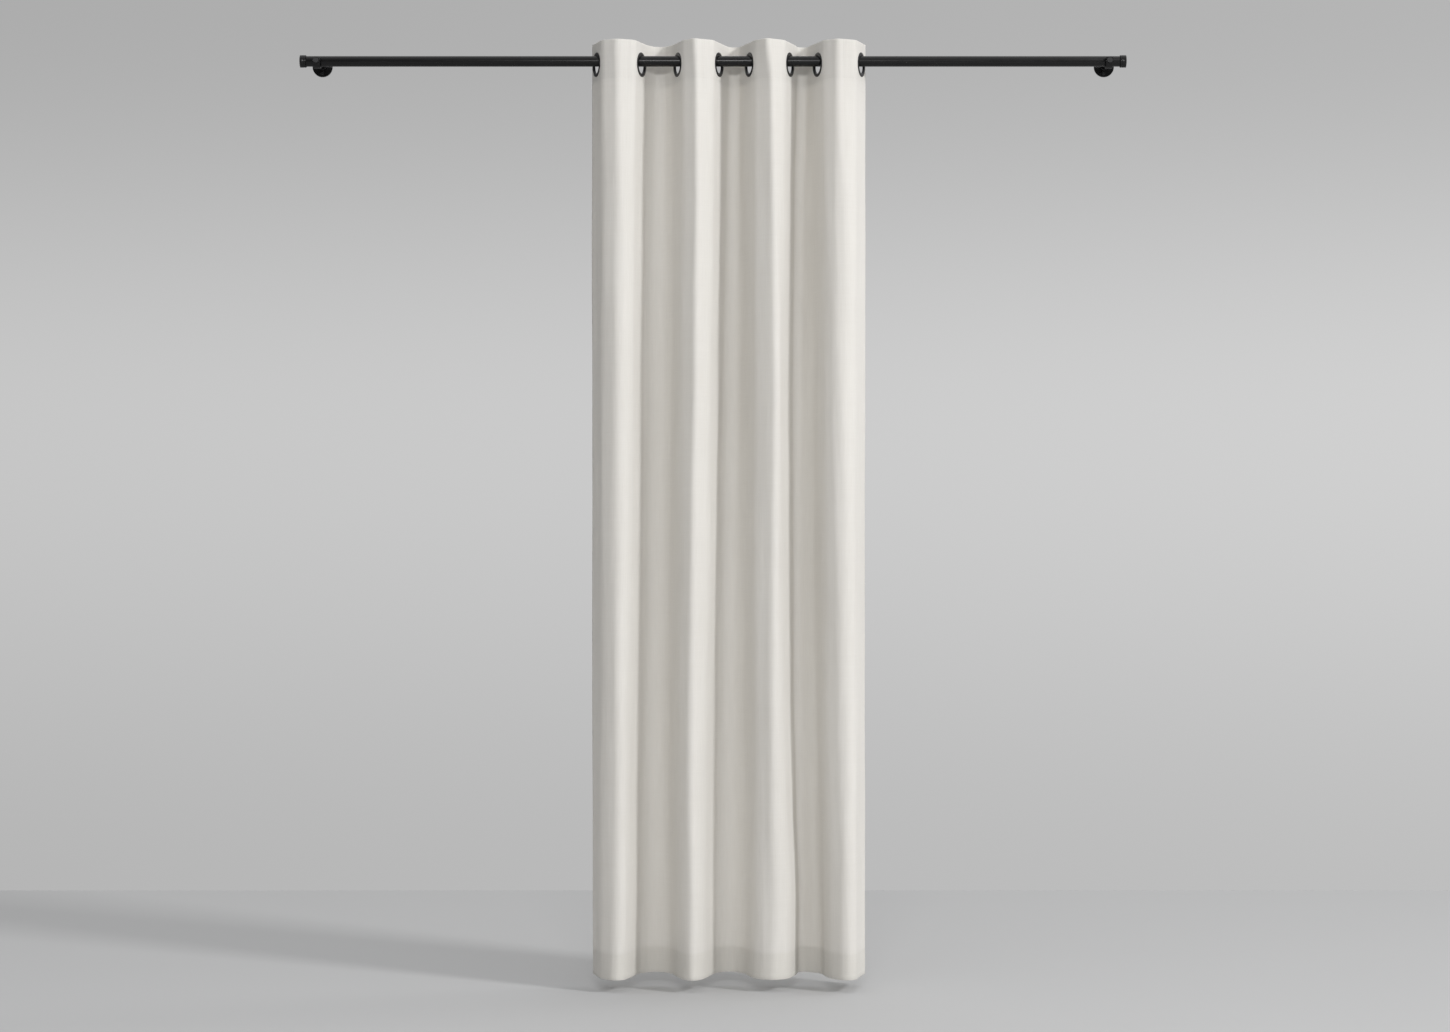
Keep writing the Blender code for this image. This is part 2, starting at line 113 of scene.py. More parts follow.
class NodeSheet:
    """A node tree, with short calls to add and join its nodes."""

    def __init__(self, owner: bpy.types.Material | bpy.types.World) -> None:
        """Empties the nodes of a material or a world.

        Args:
            owner: What the nodes belong to.
        """
        self.owner = owner
        self.owner.use_nodes = True
        self.tree = owner.node_tree
        self.tree.nodes.clear()

    def add(self, kind: str, values: dict | None = None, **settings: object) -> bpy.types.Node:
        """Adds a node.

        Args:
            kind: The node's type, without the ShaderNode prefix.
            values: Input name to a value, or to the output socket that feeds it.
            settings: The node's own properties.

        Returns:
            The new node.
        """
        node = self.tree.nodes.new("ShaderNode" + kind)
        for name, value in settings.items():
            setattr(node, name, value)
        for name, value in (values or {}).items():
            socket = node.inputs[name]
            if isinstance(value, bpy.types.NodeSocket):
                self.tree.links.new(value, socket)
            else:
                socket.default_value = value
        return node

    def maths(self, operation: str, first: object, second: object = 0.0) -> Socket:
        """One arithmetic step on two numbers or sockets."""
        return self.add("Math", {0: first, 1: second}, operation=operation).outputs[0]

    def plus(self, first: object, second: object) -> Socket:
        """The sum of two numbers or sockets."""
        return self.maths("ADD", first, second)

    def times(self, first: object, second: object) -> Socket:
        """The product of two numbers or sockets."""
        return self.maths("MULTIPLY", first, second)

    def span(self, value: Socket, low: float, high: float) -> Socket:
        """Maps a 0 to 1 signal to low to high."""
        return self.add("MapRange", {"Value": value, "To Min": low, "To Max": high}).outputs["Result"]

    def window(self, value: Socket, low: float, high: float, **settings: object) -> Socket:
        """Maps low to high of a signal to 0 to 1."""
        values = {"Value": value, "From Min": low, "From Max": high}
        return self.add("MapRange", values, **settings).outputs["Result"]

    def between(self, share: object, first: Triple, second: Triple) -> Socket:
        """Mixes two colours by a signal."""
        values = {0: share, 6: (*first, 1.0), 7: (*second, 1.0)}
        return self.add("Mix", values, data_type="RGBA").outputs[2]

    def stretched(self, source: Socket, scale: Sequence[float]) -> Socket:
        """Coordinates scaled along each axis."""
        return self.add("Mapping", {"Vector": source, "Scale": tuple(scale)}).outputs["Vector"]

    def cloudy(self, source: Socket, scale: float, detail: float = 3.0) -> Socket:
        """A noise signal from 0 to 1."""
        return self.add("TexNoise", {"Vector": source, "Scale": scale, "Detail": detail}).outputs["Fac"]

    def bump(self, height: Socket, strength: float, distance: float) -> Socket:
        """A normal raised by a height signal."""
        return self.add("Bump", {"Height": height, "Strength": strength, "Distance": distance}).outputs[0]

    def object_place(self) -> Socket:
        """The piece's own coordinates, in metres."""
        return self.add("TexCoord").outputs["Object"]

    def cloth_place(self) -> Socket:
        """The place across and down the cut cloth, in metres."""
        return self.add("UVMap", uv_map=UV_NAME).outputs["UV"]

    def show(self, shader: Socket) -> bpy.types.Material:
        """Joins a shader to the output.

        Args:
            shader: The shader's output socket.

        Returns:
            The finished material.
        """
        self.add("OutputMaterial", {"Surface": shader})
        return self.owner


def new_sheet(name: str) -> NodeSheet:
    """An empty node sheet for a new material."""
    return NodeSheet(bpy.data.materials.new(name))


@dataclass(frozen=True)
class SatinMetal:
    """Black powder-coated metal: a fine orange peel, faint rubbing, and slightly uneven gloss."""

    name: str
    slot: str
    colour: Triple = (0.0042, 0.0042, 0.0044)
    worn: Triple = (0.0085, 0.0085, 0.009)
    smooth: float = 0.22
    dull: float = 0.34
    rubbed_dulls: float = 0.03
    rubbed_from: float = 0.56
    rubbed_to: float = 0.74
    patch_scale: float = 38.0
    peel_scale: float = 900.0
    peel_depth: float = 0.00006
    rub_direction: Triple = (14.0, 260.0, 260.0)

    def build(self) -> bpy.types.Material:
        """Makes the material.

        Returns:
            The finished material.
        """
        sheet = new_sheet(self.name)
        place = sheet.object_place()
        peel = sheet.cloudy(place, self.peel_scale, 2.0)
        patches = sheet.cloudy(place, self.patch_scale, 5.0)
        rubs = sheet.cloudy(sheet.stretched(place, self.rub_direction), 1.0, 6.0)
        rubbed = sheet.window(rubs, self.rubbed_from, self.rubbed_to, interpolation_type="SMOOTHSTEP")
        gloss = sheet.span(patches, self.smooth, self.dull)
        shader = sheet.add(
            "BsdfPrincipled",
            {
                "Base Color": sheet.between(rubbed, self.colour, self.worn),
                "Roughness": sheet.plus(gloss, sheet.times(rubbed, self.rubbed_dulls)),
                "Normal": sheet.bump(peel, 0.25, self.peel_depth),
                "Specular IOR Level": 0.30,
            },
        )
        return sheet.show(shader.outputs[0])


@dataclass(frozen=True)
class LinenCloth:
    """Pale woven cloth: a plain weave with upright slubs, a soft bloom, and light passing through."""

    name: str = "linen_cloth"
    slot: str = "linen_cloth"
    colour: Triple = (0.885, 0.870, 0.840)
    shade: Triple = (0.800, 0.780, 0.745)
    through: Triple = (0.90, 0.87, 0.81)
    light_through: float = 0.32
    warp_pitch: float = 0.00085
    weft_pitch: float = 0.00100
    slub_width: float = 0.0016
    slub_length: float = 0.090
    upright_share: float = 0.68
    streak_share: float = 0.72
    cloud_scale: Triple = (9.0, 2.2, 1.0)
    tone_from: float = 0.36
    tone_to: float = 0.66
    weave_relief: float = 0.00016
    # Painted shade: doubled cloth is darkened by this tint and depth, for the light that it keeps from
    # passing through.
    doubled_painted_shade: Triple = (0.90, 0.895, 0.86)
    doubled_shade_depth: float = 0.34

    def threads(self, sheet: NodeSheet, place: Socket, pitch: float, axis: str) -> Socket:
        """Parallel threads across one axis of the cloth, slightly uneven.

        Args:
            sheet: The node sheet.
            place: The cloth's coordinates.
            pitch: The distance from thread to thread.
            axis: The axis that the threads repeat along.

        Returns:
            The threads' height, from 0 to 1.
        """
        values = {"Vector": place, "Scale": WAVE_PERIOD / pitch}
        values |= {"Distortion": 1.4, "Detail": 2.0, "Detail Scale": 0.6}
        return sheet.add("TexWave", values, bands_direction=axis).outputs["Fac"]

    def streaks(self, sheet: NodeSheet, place: Socket) -> Socket:
        """The thick and thin of the yarn, mostly upright and partly level.

        Args:
            sheet: The node sheet.
            place: The cloth's coordinates.

        Returns:
            The streaks' height, from 0 to 1.
        """
        thin, long = 1.0 / self.slub_width, 1.0 / self.slub_length
        upright = sheet.cloudy(sheet.stretched(place, (thin, long, 1.0)), 1.0, 4.0)
        level = sheet.cloudy(sheet.stretched(place, (0.7 * long, 0.7 * thin, 1.0)), 1.0, 3.0)
        mostly = sheet.times(upright, self.upright_share)
        return sheet.plus(mostly, sheet.times(level, 1.0 - self.upright_share))

    def tinted(self, sheet: NodeSheet, place: Socket, streaks: Socket) -> Socket:
        """The cloth's colour: streaked, clouded, and darkened where it is doubled, a painted shade for the
        light that doubled cloth keeps from passing through.

        Args:
            sheet: The node sheet.
            place: The cloth's coordinates.
            streaks: The streaks' height.

        Returns:
            The colour.
        """
        clouds = sheet.cloudy(sheet.stretched(place, self.cloud_scale), 1.0, 4.0)
        mostly = sheet.times(streaks, self.streak_share)
        tone = sheet.plus(mostly, sheet.times(clouds, 1.0 - self.streak_share))
        single = sheet.between(sheet.window(tone, self.tone_from, self.tone_to), self.shade, self.colour)
        # Painted shade, darker where the cloth is doubled.
        layers = sheet.add("Attribute", attribute_name=DOUBLED_SHADE_NAME).outputs["Fac"]
        painted_doubled_shade = sheet.between(sheet.times(layers, self.doubled_shade_depth), (1.0, 1.0, 1.0), self.doubled_painted_shade)
        values = {0: 1.0, 6: single, 7: painted_doubled_shade}
        return sheet.add("Mix", values, data_type="RGBA", blend_type="MULTIPLY").outputs[2]

    def build(self) -> bpy.types.Material:
        """Makes the material.

        Returns:
            The finished material.
        """
        sheet = new_sheet(self.name)
        place = sheet.cloth_place()
        warp = self.threads(sheet, place, self.warp_pitch, "X")
        weft = self.threads(sheet, place, self.weft_pitch, "Y")
        streaks = self.streaks(sheet, place)
        weave = sheet.bump(sheet.maths("MAXIMUM", warp, weft), 0.30, self.weave_relief)
        relief = {"Height": streaks, "Strength": 0.45, "Distance": 4 * self.weave_relief, "Normal": weave}
        front = sheet.add(
            "BsdfPrincipled",
            {
                "Base Color": self.tinted(sheet, place, streaks),
                "Roughness": sheet.span(streaks, 0.84, 0.96),
                "Normal": sheet.add("Bump", relief).outputs[0],
                "Specular IOR Level": 0.22,
                "Sheen Weight": 0.18,
                "Sheen Roughness": 0.45,
            },
        )
        behind = sheet.add("BsdfTranslucent", {"Color": (*self.through, 1.0)})
        layers = {0: self.light_through, 1: front.outputs[0], 2: behind.outputs[0]}
        return sheet.show(sheet.add("MixShader", layers).outputs[0])


@dataclass(frozen=True)
class HeadingTapeCloth:
    """Stiff bonded tape: matted fibres, whiter than the cloth round it."""

    name: str = "heading_tape"
    slot: str = "heading_tape"
    colour: Triple = (0.80, 0.80, 0.78)
    fibre: Triple = (0.68, 0.68, 0.66)
    mat_scale: Triple = (700.0, 260.0, 1.0)

    def build(self) -> bpy.types.Material:
        """Makes the material.

        Returns:
            The finished material.
        """
        sheet = new_sheet(self.name)
        fibres = sheet.cloudy(sheet.stretched(sheet.cloth_place(), self.mat_scale), 1.0, 6.0)
        shader = sheet.add(
            "BsdfPrincipled",
            {
                "Base Color": sheet.between(fibres, self.fibre, self.colour),
                "Roughness": sheet.span(fibres, 0.75, 0.95),
                "Normal": sheet.bump(fibres, 0.5, 0.0002),
            },
        )
        return sheet.show(shader.outputs[0])


@dataclass(frozen=True)
class SewingThread:
    """Twisted polyester thread, matched to the cloth, with painted shade in the hollows of its twist."""

    name: str = "sewing_thread"
    slot: str = "linen_cloth"
    colour: Triple = (0.79, 0.77, 0.73)
    # Painted shade in the hollows between the twist's plies.
    twist_hollow_shade: Triple = (0.60, 0.58, 0.54)
    twist_pitch: float = 0.0007

    def build(self) -> bpy.types.Material:
        """Makes the material.

        Returns:
            The finished material.
        """
        sheet = new_sheet(self.name)
        values = {"Vector": sheet.object_place(), "Scale": WAVE_PERIOD / self.twist_pitch, "Distortion": 0.5}
        twist = sheet.add("TexWave", values, bands_direction="DIAGONAL").outputs["Fac"]
        shader = sheet.add(
            "BsdfPrincipled",
            {
                # Painted shade: darker in the twist's hollows.
                "Base Color": sheet.between(twist, self.twist_hollow_shade, self.colour),
                "Roughness": sheet.span(twist, 0.5, 0.7),
                "Normal": sheet.bump(twist, 0.6, 0.00008),
                "Sheen Weight": 0.2,
            },
        )
        return sheet.show(shader.outputs[0])


@dataclass(frozen=True)
class PaleFloor:
    """A plain matt studio floor."""

    name: str = "studio_floor"
    colour: Triple = (0.455, 0.455, 0.455)
    deeper: float = 0.985

    def build(self) -> bpy.types.Material:
        """Makes the material.

        Returns:
            The finished material.
        """
        sheet = new_sheet(self.name)
        mottle = sheet.cloudy(sheet.object_place(), 1.4, 2.0)
        deep = tuple(self.deeper * value for value in self.colour)
        values = {"Base Color": sheet.between(mottle, deep, self.colour), "Roughness": 0.9}
        values["Specular IOR Level"] = 0.1
        return sheet.show(sheet.add("BsdfPrincipled", values).outputs[0])


ROD_FINISH = SatinMetal("rod_black", "rod_metal")
BRACKET_FINISH = SatinMetal("bracket_black", "rod_metal", rub_direction=(120.0, 120.0, 60.0))
SCREW_FINISH = SatinMetal(
    "screw_black",
    "screw_metal",
    colour=(0.012, 0.012, 0.013),
    smooth=0.34,
    dull=0.5,
    rub_direction=(90.0, 90.0, 90.0),
)
EYELET_FINISH = SatinMetal(
    "eyelet_black",
    "eyelet_metal",
    colour=(0.009, 0.009, 0.010),
    smooth=0.24,
    dull=0.36,
    peel_scale=1300.0,
)


# ---------------------------------------------------------------------------------------------
# The bench
# ---------------------------------------------------------------------------------------------

FacePick = Callable[[Vector, Vector], bool]


def deselect_all() -> None:
    """Leaves no object selected."""
    for item in bpy.context.scene.objects:
        item.select_set(False)


def select_only(item: bpy.types.Object) -> None:
    """Leaves one object selected, and active."""
    deselect_all()
    bpy.context.view_layer.objects.active = item
    item.select_set(True)


def facing(direction: Vector, least: float = 0.99) -> FacePick:
    """A pick of the faces whose normals lie near one direction."""
    return lambda centre, normal: normal.dot(direction) > least


class Workpiece:
    """One piece on the bench, shaped with the modelling operators and finished with modifiers."""

    def __init__(self, name: str) -> None:
        """Takes up the object that an operator has just added.

        Args:
            name: The piece's name.
        """
        self.body = bpy.context.object
        self.body.name = name
        self.body.data.name = name
        bpy.ops.object.transform_apply(location=True, rotation=True, scale=True)

    @classmethod
    def cylinder(cls, name: str, radius: float, start: Vector, end: Vector, sides: int = 96) -> Workpiece:
        """A solid round bar between two points.

        Args:
            name: The piece's name.
            radius: The bar's radius.
            start: The middle of one end.
            end: The middle of the other end.
            sides: How many flats stand for the round.

        Returns:
            The bar on the bench.
        """
        deselect_all()
        along = end - start
        bpy.ops.mesh.primitive_cylinder_add(
            vertices=sides,
            radius=radius,
            depth=along.length,
            location=(start + end) / 2,
            rotation=along.to_track_quat("Z", "Y").to_euler(),
        )
        return cls(name)

    @classmethod
    def cone(
        cls, name: str, wide: float, narrow: float, middle: Vector, depth: float, sides: int
    ) -> Workpiece:
        """A cone that narrows towards the wall.

        Args:
            name: The piece's name.
            wide: The radius of its front end.
            narrow: The radius of its back end.
            middle: The point half-way along its axis.
            depth: Its length.
            sides: How many flats stand for the round.

        Returns:
            The cone on the bench.
        """
        deselect_all()
        bpy.ops.mesh.primitive_cone_add(
            vertices=sides,
            radius1=wide,
            radius2=narrow,
            depth=depth,
            location=middle,
            rotation=(-math.pi / 2, 0, 0),
        )
        return cls(name)

    @classmethod
    def block(cls, name: str, low: Vector, high: Vector) -> Workpiece:
        """A box between two corners.

        Args:
            name: The piece's name.
            low: Its lowest corner.
            high: Its highest corner.

        Returns:
            The box on the bench.
        """
        deselect_all()
        bpy.ops.mesh.primitive_cube_add(size=1.0, location=(low + high) / 2, scale=high - low)
        return cls(name)

    @classmethod
    def turned_ring(
        cls, name: str, outline: Sequence[tuple[float, float]], place: Matrix, sides: int
    ) -> Workpiece:
        """A ring spun from a closed outline.

        Args:
            name: The piece's name.
            outline: (radius, along) points round the ring's section.
            place: Where the ring's centre goes, its axis along local -Y.
            sides: How many steps the spin takes.

        Returns:
            The ring on the bench.
        """
        deselect_all()
        bpy.ops.mesh.primitive_circle_add(vertices=len(outline), radius=1.0)
        piece = cls(name)
        for vertex, (radius, along) in zip(piece.body.data.vertices, outline):
            vertex.co = (radius, -along, 0.0)
        bpy.ops.object.mode_set(mode="EDIT")
        bpy.ops.mesh.select_all(action="SELECT")
        bpy.ops.mesh.spin(steps=sides, angle=math.tau, center=(0, 0, 0), axis=(0, 1, 0))
        bpy.ops.mesh.select_all(action="SELECT")
        bpy.ops.mesh.remove_doubles(threshold=0.000002)
        bpy.ops.mesh.normals_make_consistent(inside=False)
        bpy.ops.object.mode_set(mode="OBJECT")
        piece.body.data.transform(place)
        return piece

    def inset(self, pick: FacePick, width: float, depth: float = 0.0, each: bool = False) -> Workpiece:
        """Insets the picked faces and pushes them in or out.

        Args:
            pick: A test of a face's centre and normal.
            width: How far the new faces stand in from the old edges.
            depth: How far they are pushed out.
            each: Whether each face is inset by itself.

        Returns:
            This piece.
        """
        bpy.ops.object.mode_set(mode="EDIT")
        bpy.ops.mesh.select_mode(type="FACE")
        bpy.ops.mesh.select_all(action="DESELECT")
        bpy.ops.object.mode_set(mode="OBJECT")
        for face in self.body.data.polygons:
            face.select = pick(face.center, face.normal)
        bpy.ops.object.mode_set(mode="EDIT")
        bpy.ops.mesh.inset(thickness=width, depth=depth, use_individual=each, use_even_offset=True)
        bpy.ops.object.mode_set(mode="OBJECT")
        return self

    def _apply(self, modifier: bpy.types.Modifier) -> Workpiece:
        """Applies a modifier with only this piece selected.

        Args:
            modifier: The modifier.

        Returns:
            This piece.
        """
        select_only(self.body)
        bpy.ops.object.modifier_apply(modifier=modifier.name)
        return self

    def _combine(self, other: Workpiece, operation: str) -> Workpiece:
        """Joins, or cuts away, another piece, which is then thrown away.

        Args:
            other: The other piece.
            operation: UNION or DIFFERENCE.

        Returns:
            This piece.
        """
        modifier = self.body.modifiers.new("combine", "BOOLEAN")
        modifier.operation = operation
        modifier.object = other.body
        modifier.solver = "EXACT"
        self._apply(modifier)
        bpy.data.objects.remove(other.body, do_unlink=True)
        return self

    def join(self, other: Workpiece) -> Workpiece:
        """Adds another piece to this one."""
        return self._combine(other, "UNION")

    def cut(self, other: Workpiece) -> Workpiece:
        """Cuts another piece's shape out of this one."""
        return self._combine(other, "DIFFERENCE")

    def ease(self, width: float, segments: int = 2, angle: float = 35.0) -> Workpiece:
        """Rounds every sharp edge.

        Args:
            width: How far the rounding reaches.
            segments: How many faces it takes.
            angle: The least turn of an edge that counts as sharp, in degrees.

        Returns:
            This piece.
        """
        modifier = self.body.modifiers.new("ease", "BEVEL")
        modifier.width = width
        modifier.segments = segments
        modifier.limit_method = "ANGLE"
        modifier.angle_limit = math.radians(angle)
        modifier.harden_normals = False
        return self._apply(modifier)

    def done(self, material: bpy.types.Material, slot: str, node: str, body: str) -> bpy.types.Object:
        """Finishes the piece: smooth shading, its material, its CAD node and its body.

        Args:
            material: The finish.
            slot: The record's material slot; not used.
            node: The CAD node that it stands for.
            body: The body that it rides on.

        Returns:
            The finished object.
        """
        select_only(self.body)
        bpy.ops.object.shade_smooth_by_angle(angle=math.radians(35.0))
        self.body.data.materials.clear()
        self.body.data.materials.append(material)
        log.info("%s: %d faces", self.body.name, len(self.body.data.polygons))
        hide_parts(node)
        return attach(self.body, body)


def link_mesh(name: str, mesh: bpy.types.Mesh, material: bpy.types.Material) -> bpy.types.Object:
    """Puts a mesh into the scene with its finish.

    Args:
        name: The object's name.
        mesh: Its mesh.
        material: The finish.

    Returns:
        The new object.
    """
    made = bpy.data.objects.new(name, mesh)
    bpy.context.scene.collection.objects.link(made)
    mesh.materials.append(material)
    return made


def node_box(node: str) -> tuple[Vector, Vector]:
    """A CAD node's lowest and highest corners."""
    low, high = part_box(node)
    return Vector(low), Vector(high)


def node_middle(node: str) -> Vector:
    """The middle of a CAD node's box."""
    low, high = node_box(node)
    return (low + high) / 2


# ---------------------------------------------------------------------------------------------
# Rod
# ---------------------------------------------------------------------------------------------


@dataclass
class RodAssembly:
    """The tube and the stopper in each end."""

    wall: float = 0.0012
    fit: float = 0.0003
    rim_ease: float = 0.0003
    cap_rim: float = 0.0030
    dish_width: float = 0.0008
    dish_depth: float = 0.0007
    band_from_shoulder: float = 0.0040
    band_width: float = 0.0012
    band_depth: float = 0.0006
    body: str = "rod"
    finish: bpy.types.Material = field(default_factory=ROD_FINISH.build)

    def __post_init__(self) -> None:
        """Reads the tube's axis and radius from the frame."""
        low, high = node_box("rod_tube")
        self.low_x, self.high_x = low.x, high.x
        self.radius = (high.z - low.z) / 2
        self.axis_y = (low.y + high.y) / 2
        self.axis_z = (low.z + high.z) / 2

    def at(self, x: float) -> Vector:
        """The point of the rod's axis at x."""
        return Vector((x, self.axis_y, self.axis_z))

    def bar(self, name: str, radius: float, start: float, end: float, sides: int = 96) -> Workpiece:
        """A round bar along the rod's axis, from x to x."""
        return Workpiece.cylinder(name, radius, self.at(start), self.at(end), sides)

    def build_tube(self) -> bpy.types.Object:
        """The open tube with its rim slightly eased.

        Returns:
            The tube.
        """
        tube = self.bar("rod_tube_drawn", self.radius, self.low_x, self.high_x, 128)
        bore = self.bar("bore", self.radius - self.wall, self.low_x - 0.01, self.high_x + 0.01, 128)
        return tube.cut(bore).ease(self.rim_ease).done(self.finish, ROD_FINISH.slot, "rod_tube", self.body)

    def build_cap(self, side: Side) -> None:
        """A stopper: spigot, flat shoulder, a fine groove behind the knob and a dished face.

        Args:
            side: The end of the rod that it closes.
        """
        node = f"end_cap_{side.value}"
        low, high = node_box(node)
        right = side is Side.RIGHT
        outward = 1.0 if right else -1.0
        outer_x, inner_x, tube_end = (high.x, low.x, self.high_x) if right else (low.x, high.x, self.low_x)
        shoulder = tube_end + outward * self.fit
        away = facing(Vector((outward, 0, 0)))
        radius = (high.z - low.z) / 2
        knob = self.bar(node + "_turned", radius, shoulder, outer_x)
        knob.inset(away, self.cap_rim).inset(away, self.dish_width, -self.dish_depth)
        band = shoulder + outward * self.band_from_shoulder
        groove = self.bar("groove", radius + 0.002, band, band + outward * self.band_width)
        core = self.bar("core", radius - self.band_depth, band - outward * 0.001, band + outward * 0.003)
        knob.cut(groove.cut(core)).ease(0.0006, 3)
        spigot = self.bar("spigot", self.radius - self.wall - self.fit, inner_x, shoulder + outward * 0.002)
        knob.join(spigot).done(self.finish, ROD_FINISH.slot, node, self.body)

    def build(self) -> bpy.types.Object:
        """Builds the tube and both stoppers.

        Returns:
            The tube, which the curtain hangs on.
        """
        tube = self.build_tube()
        for side in Side:
            self.build_cap(side)
        return tube


# ---------------------------------------------------------------------------------------------
# Wall brackets
# ---------------------------------------------------------------------------------------------


@dataclass
class WallBracket:
    """One bracket: plate, two screws, arm, open cradle and the thumbscrew that locks the rod."""

    side: Side
    rod: RodAssembly
    boss_radius: float = 0.010
    boss_height: float = 0.011
    socket_depth: float = 0.008
    plate_ease: float = 0.0007
    boss_ease: float = 0.0009
    arm_ease: float = 0.0008
    cradle_wall: float = 0.0045
    cradle_ease: float = 0.0006
    cradle_boss_wall: float = 0.003
    fit: float = 0.0003
    past: float = 0.002
    screw_shank: float = 0.0020
    screw_hole: float = 0.0023
    recess_long: float = 0.0018
    recess_short: float = 0.0004
    recess_depth: float = 0.0013
    lock_shank: float = 0.0025
    lock_way: float = 0.0028
    thread_pitch: float = 0.0010
    thread_turns: int = 5
    knurls: int = 36
    metal: bpy.types.Material = field(default_factory=BRACKET_FINISH.build)
    screw_metal: bpy.types.Material = field(default_factory=SCREW_FINISH.build)

    def __post_init__(self) -> None:
        """Reads the bracket's place from the frame."""
        self.plate_low, self.plate_high = node_box(self.node("wall_plate"))
        self.x = (self.plate_low.x + self.plate_high.x) / 2
        self.plate_radius = (self.plate_high.z - self.plate_low.z) / 2
        self.arm_low, self.arm_high = node_box(self.node("bracket_arm"))
        self.arm_radius = (self.arm_high.z - self.arm_low.z) / 2
        self.cradle_low, self.cradle_high = node_box(self.node("rod_cradle"))
        self.cradle_radius = self.rod.axis_z - self.cradle_low.z
        self.seat_radius = self.cradle_radius - self.cradle_wall

    def node(self, kind: str) -> str:
        """The name of this side's CAD node of one kind."""
        return f"{kind}_{self.side.value}"

    def on_axis(self, y: float, z: float = 0.0) -> Vector:
        """A point above or below the arm's axis at y."""
        return Vector((self.x, y, self.rod.axis_z + z))

    def bar(
        self, name: str, radius: float, start: float, end: float, z: float = 0.0, sides: int = 96
    ) -> Workpiece:
        """A round bar along the arm's axis, or above or below it, from y to y."""
        return Workpiece.cylinder(name, radius, self.on_axis(start, z), self.on_axis(end, z), sides)

    def slab(self, name: str, half: float, reach: float, low: float, high: float) -> Workpiece:
        """A box across the rod, between two heights over its axis."""
        centre = self.on_axis(self.rod.axis_y)
        corner, opposite = Vector((-half, -reach, low)), Vector((half, reach, high))
        return Workpiece.block(name, centre + corner, centre + opposite)

    def keep(self, piece: Workpiece, node: str, body: str = "brackets", screw: bool = False) -> None:
        """Finishes a piece in the bracket's or the screws' metal."""
        metal, finish = (self.screw_metal, SCREW_FINISH) if screw else (self.metal, BRACKET_FINISH)
        piece.done(metal, finish.slot, node, body)

    def build_plate(self) -> None:
        """The round plate, stepped at its rim, with a boss bored for the arm and two countersunk holes."""
        node = self.node("wall_plate")
        boss_front = self.plate_low.y
        front = boss_front + self.boss_height
        plate = self.bar(node + "_turned", self.plate_radius, front, 0.0, sides=128)
        plate.inset(facing(OUTWARD), 0.0022).inset(facing(OUTWARD), 0.0005, 0.0004).ease(self.plate_ease, 3)
        plate.join(self.bar("boss", self.boss_radius, boss_front, -0.001).ease(self.boss_ease, 3))
        bore = self.arm_radius + self.fit
        plate.cut(self.bar("socket", bore, boss_front - self.past, boss_front + self.socket_depth))
        for name in ("upper", "lower"):
            low, high = node_box(f"{self.node('wall_screw')}_{name}")
            z = (low.z + high.z) / 2 - self.rod.axis_z
            head = (high.z - low.z) / 2 + self.fit
            plate.cut(self.bar("hole", self.screw_hole, front - 0.004, 0.004, z, 48))
            middle = self.on_axis(front - 0.001 + (head + 0.0005) / 2, z)
            plate.cut(Workpiece.cone("sink", head + 0.001, 0.0005, middle, head + 0.0005, 48))
        self.keep(plate, node)

    def build_wall_screw(self, name: str) -> None:
        """A countersunk screw with a cross recess.

        Args:
            name: Which of the plate's two screws.
        """
        node = f"{self.node('wall_screw')}_{name}"
        low, high = node_box(node)
        z = (low.z + high.z) / 2 - self.rod.axis_z
        head_radius = (high.z - low.z) / 2
        slope = head_radius - self.screw_shank
        shank = self.bar(node + "_turned", self.screw_shank, low.y + slope, high.y, z, 48)
        middle = self.on_axis(low.y + slope / 2, z)
        head = Workpiece.cone("head", head_radius, self.screw_shank, middle, slope, 64)
        for wide, tall in ((self.recess_long, self.recess_short), (self.recess_short, self.recess_long)):
            reach = Vector((wide, self.recess_depth, tall))
            start, end = self.on_axis(low.y - 0.001, z) - reach, self.on_axis(low.y, z) + reach
            head.cut(Workpiece.block("slot", start, end))
        self.keep(head.ease(0.00012, 1, 50.0).join(shank), node, screw=True)

    def build_arm(self) -> None:
        """The round arm, eased at both ends."""
        node = self.node("bracket_arm")
        arm = self.bar(node + "_turned", self.arm_radius, self.arm_low.y, self.arm_high.y)
        self.keep(arm.ease(self.arm_ease, 3), node)

    def build_cradle(self) -> None:
        """The hook that the rod lies in, open at the top, with the arm's boss behind it."""
        node = self.node("rod_cradle")
        axis_y, round_radius = self.rod.axis_y, self.cradle_radius
        half = (self.cradle_high.x - self.cradle_low.x) / 2
        far = half + self.past
        centre = self.on_axis(axis_y)
        top = self.cradle_high.z - self.rod.axis_z
        out, beyond = Vector((half, 0, 0)), Vector((far, 0, 0))
        hook = Workpiece.cylinder(node + "_cut", round_radius, centre - out, centre + out, 128)
        hook.join(self.slab("cheeks", half, round_radius, 0.0, top))
        hook.cut(self.slab("above", far, 2 * round_radius, top, 0.1))
        hook.cut(Workpiece.cylinder("seat", self.seat_radius, centre - beyond, centre + beyond, 128))
        hook.cut(self.slab("throat", far, self.seat_radius, 0.0, 0.1))
        back = self.cradle_high.y
        boss_start = axis_y + self.seat_radius + self.cradle_wall / 2
        hook.join(self.bar("cradle_boss", self.arm_radius + self.cradle_boss_wall, boss_start, back))
        hook.cut(self.bar("socket", self.arm_radius + self.fit, axis_y + round_radius, back + 0.01))
        way_start, way_end = axis_y - 2 * round_radius, axis_y - self.seat_radius / 2
        hook.cut(self.bar("screw_way", self.lock_way, way_start, way_end, sides=48))
        self.keep(hook.ease(self.cradle_ease, 2, 30.0), node)

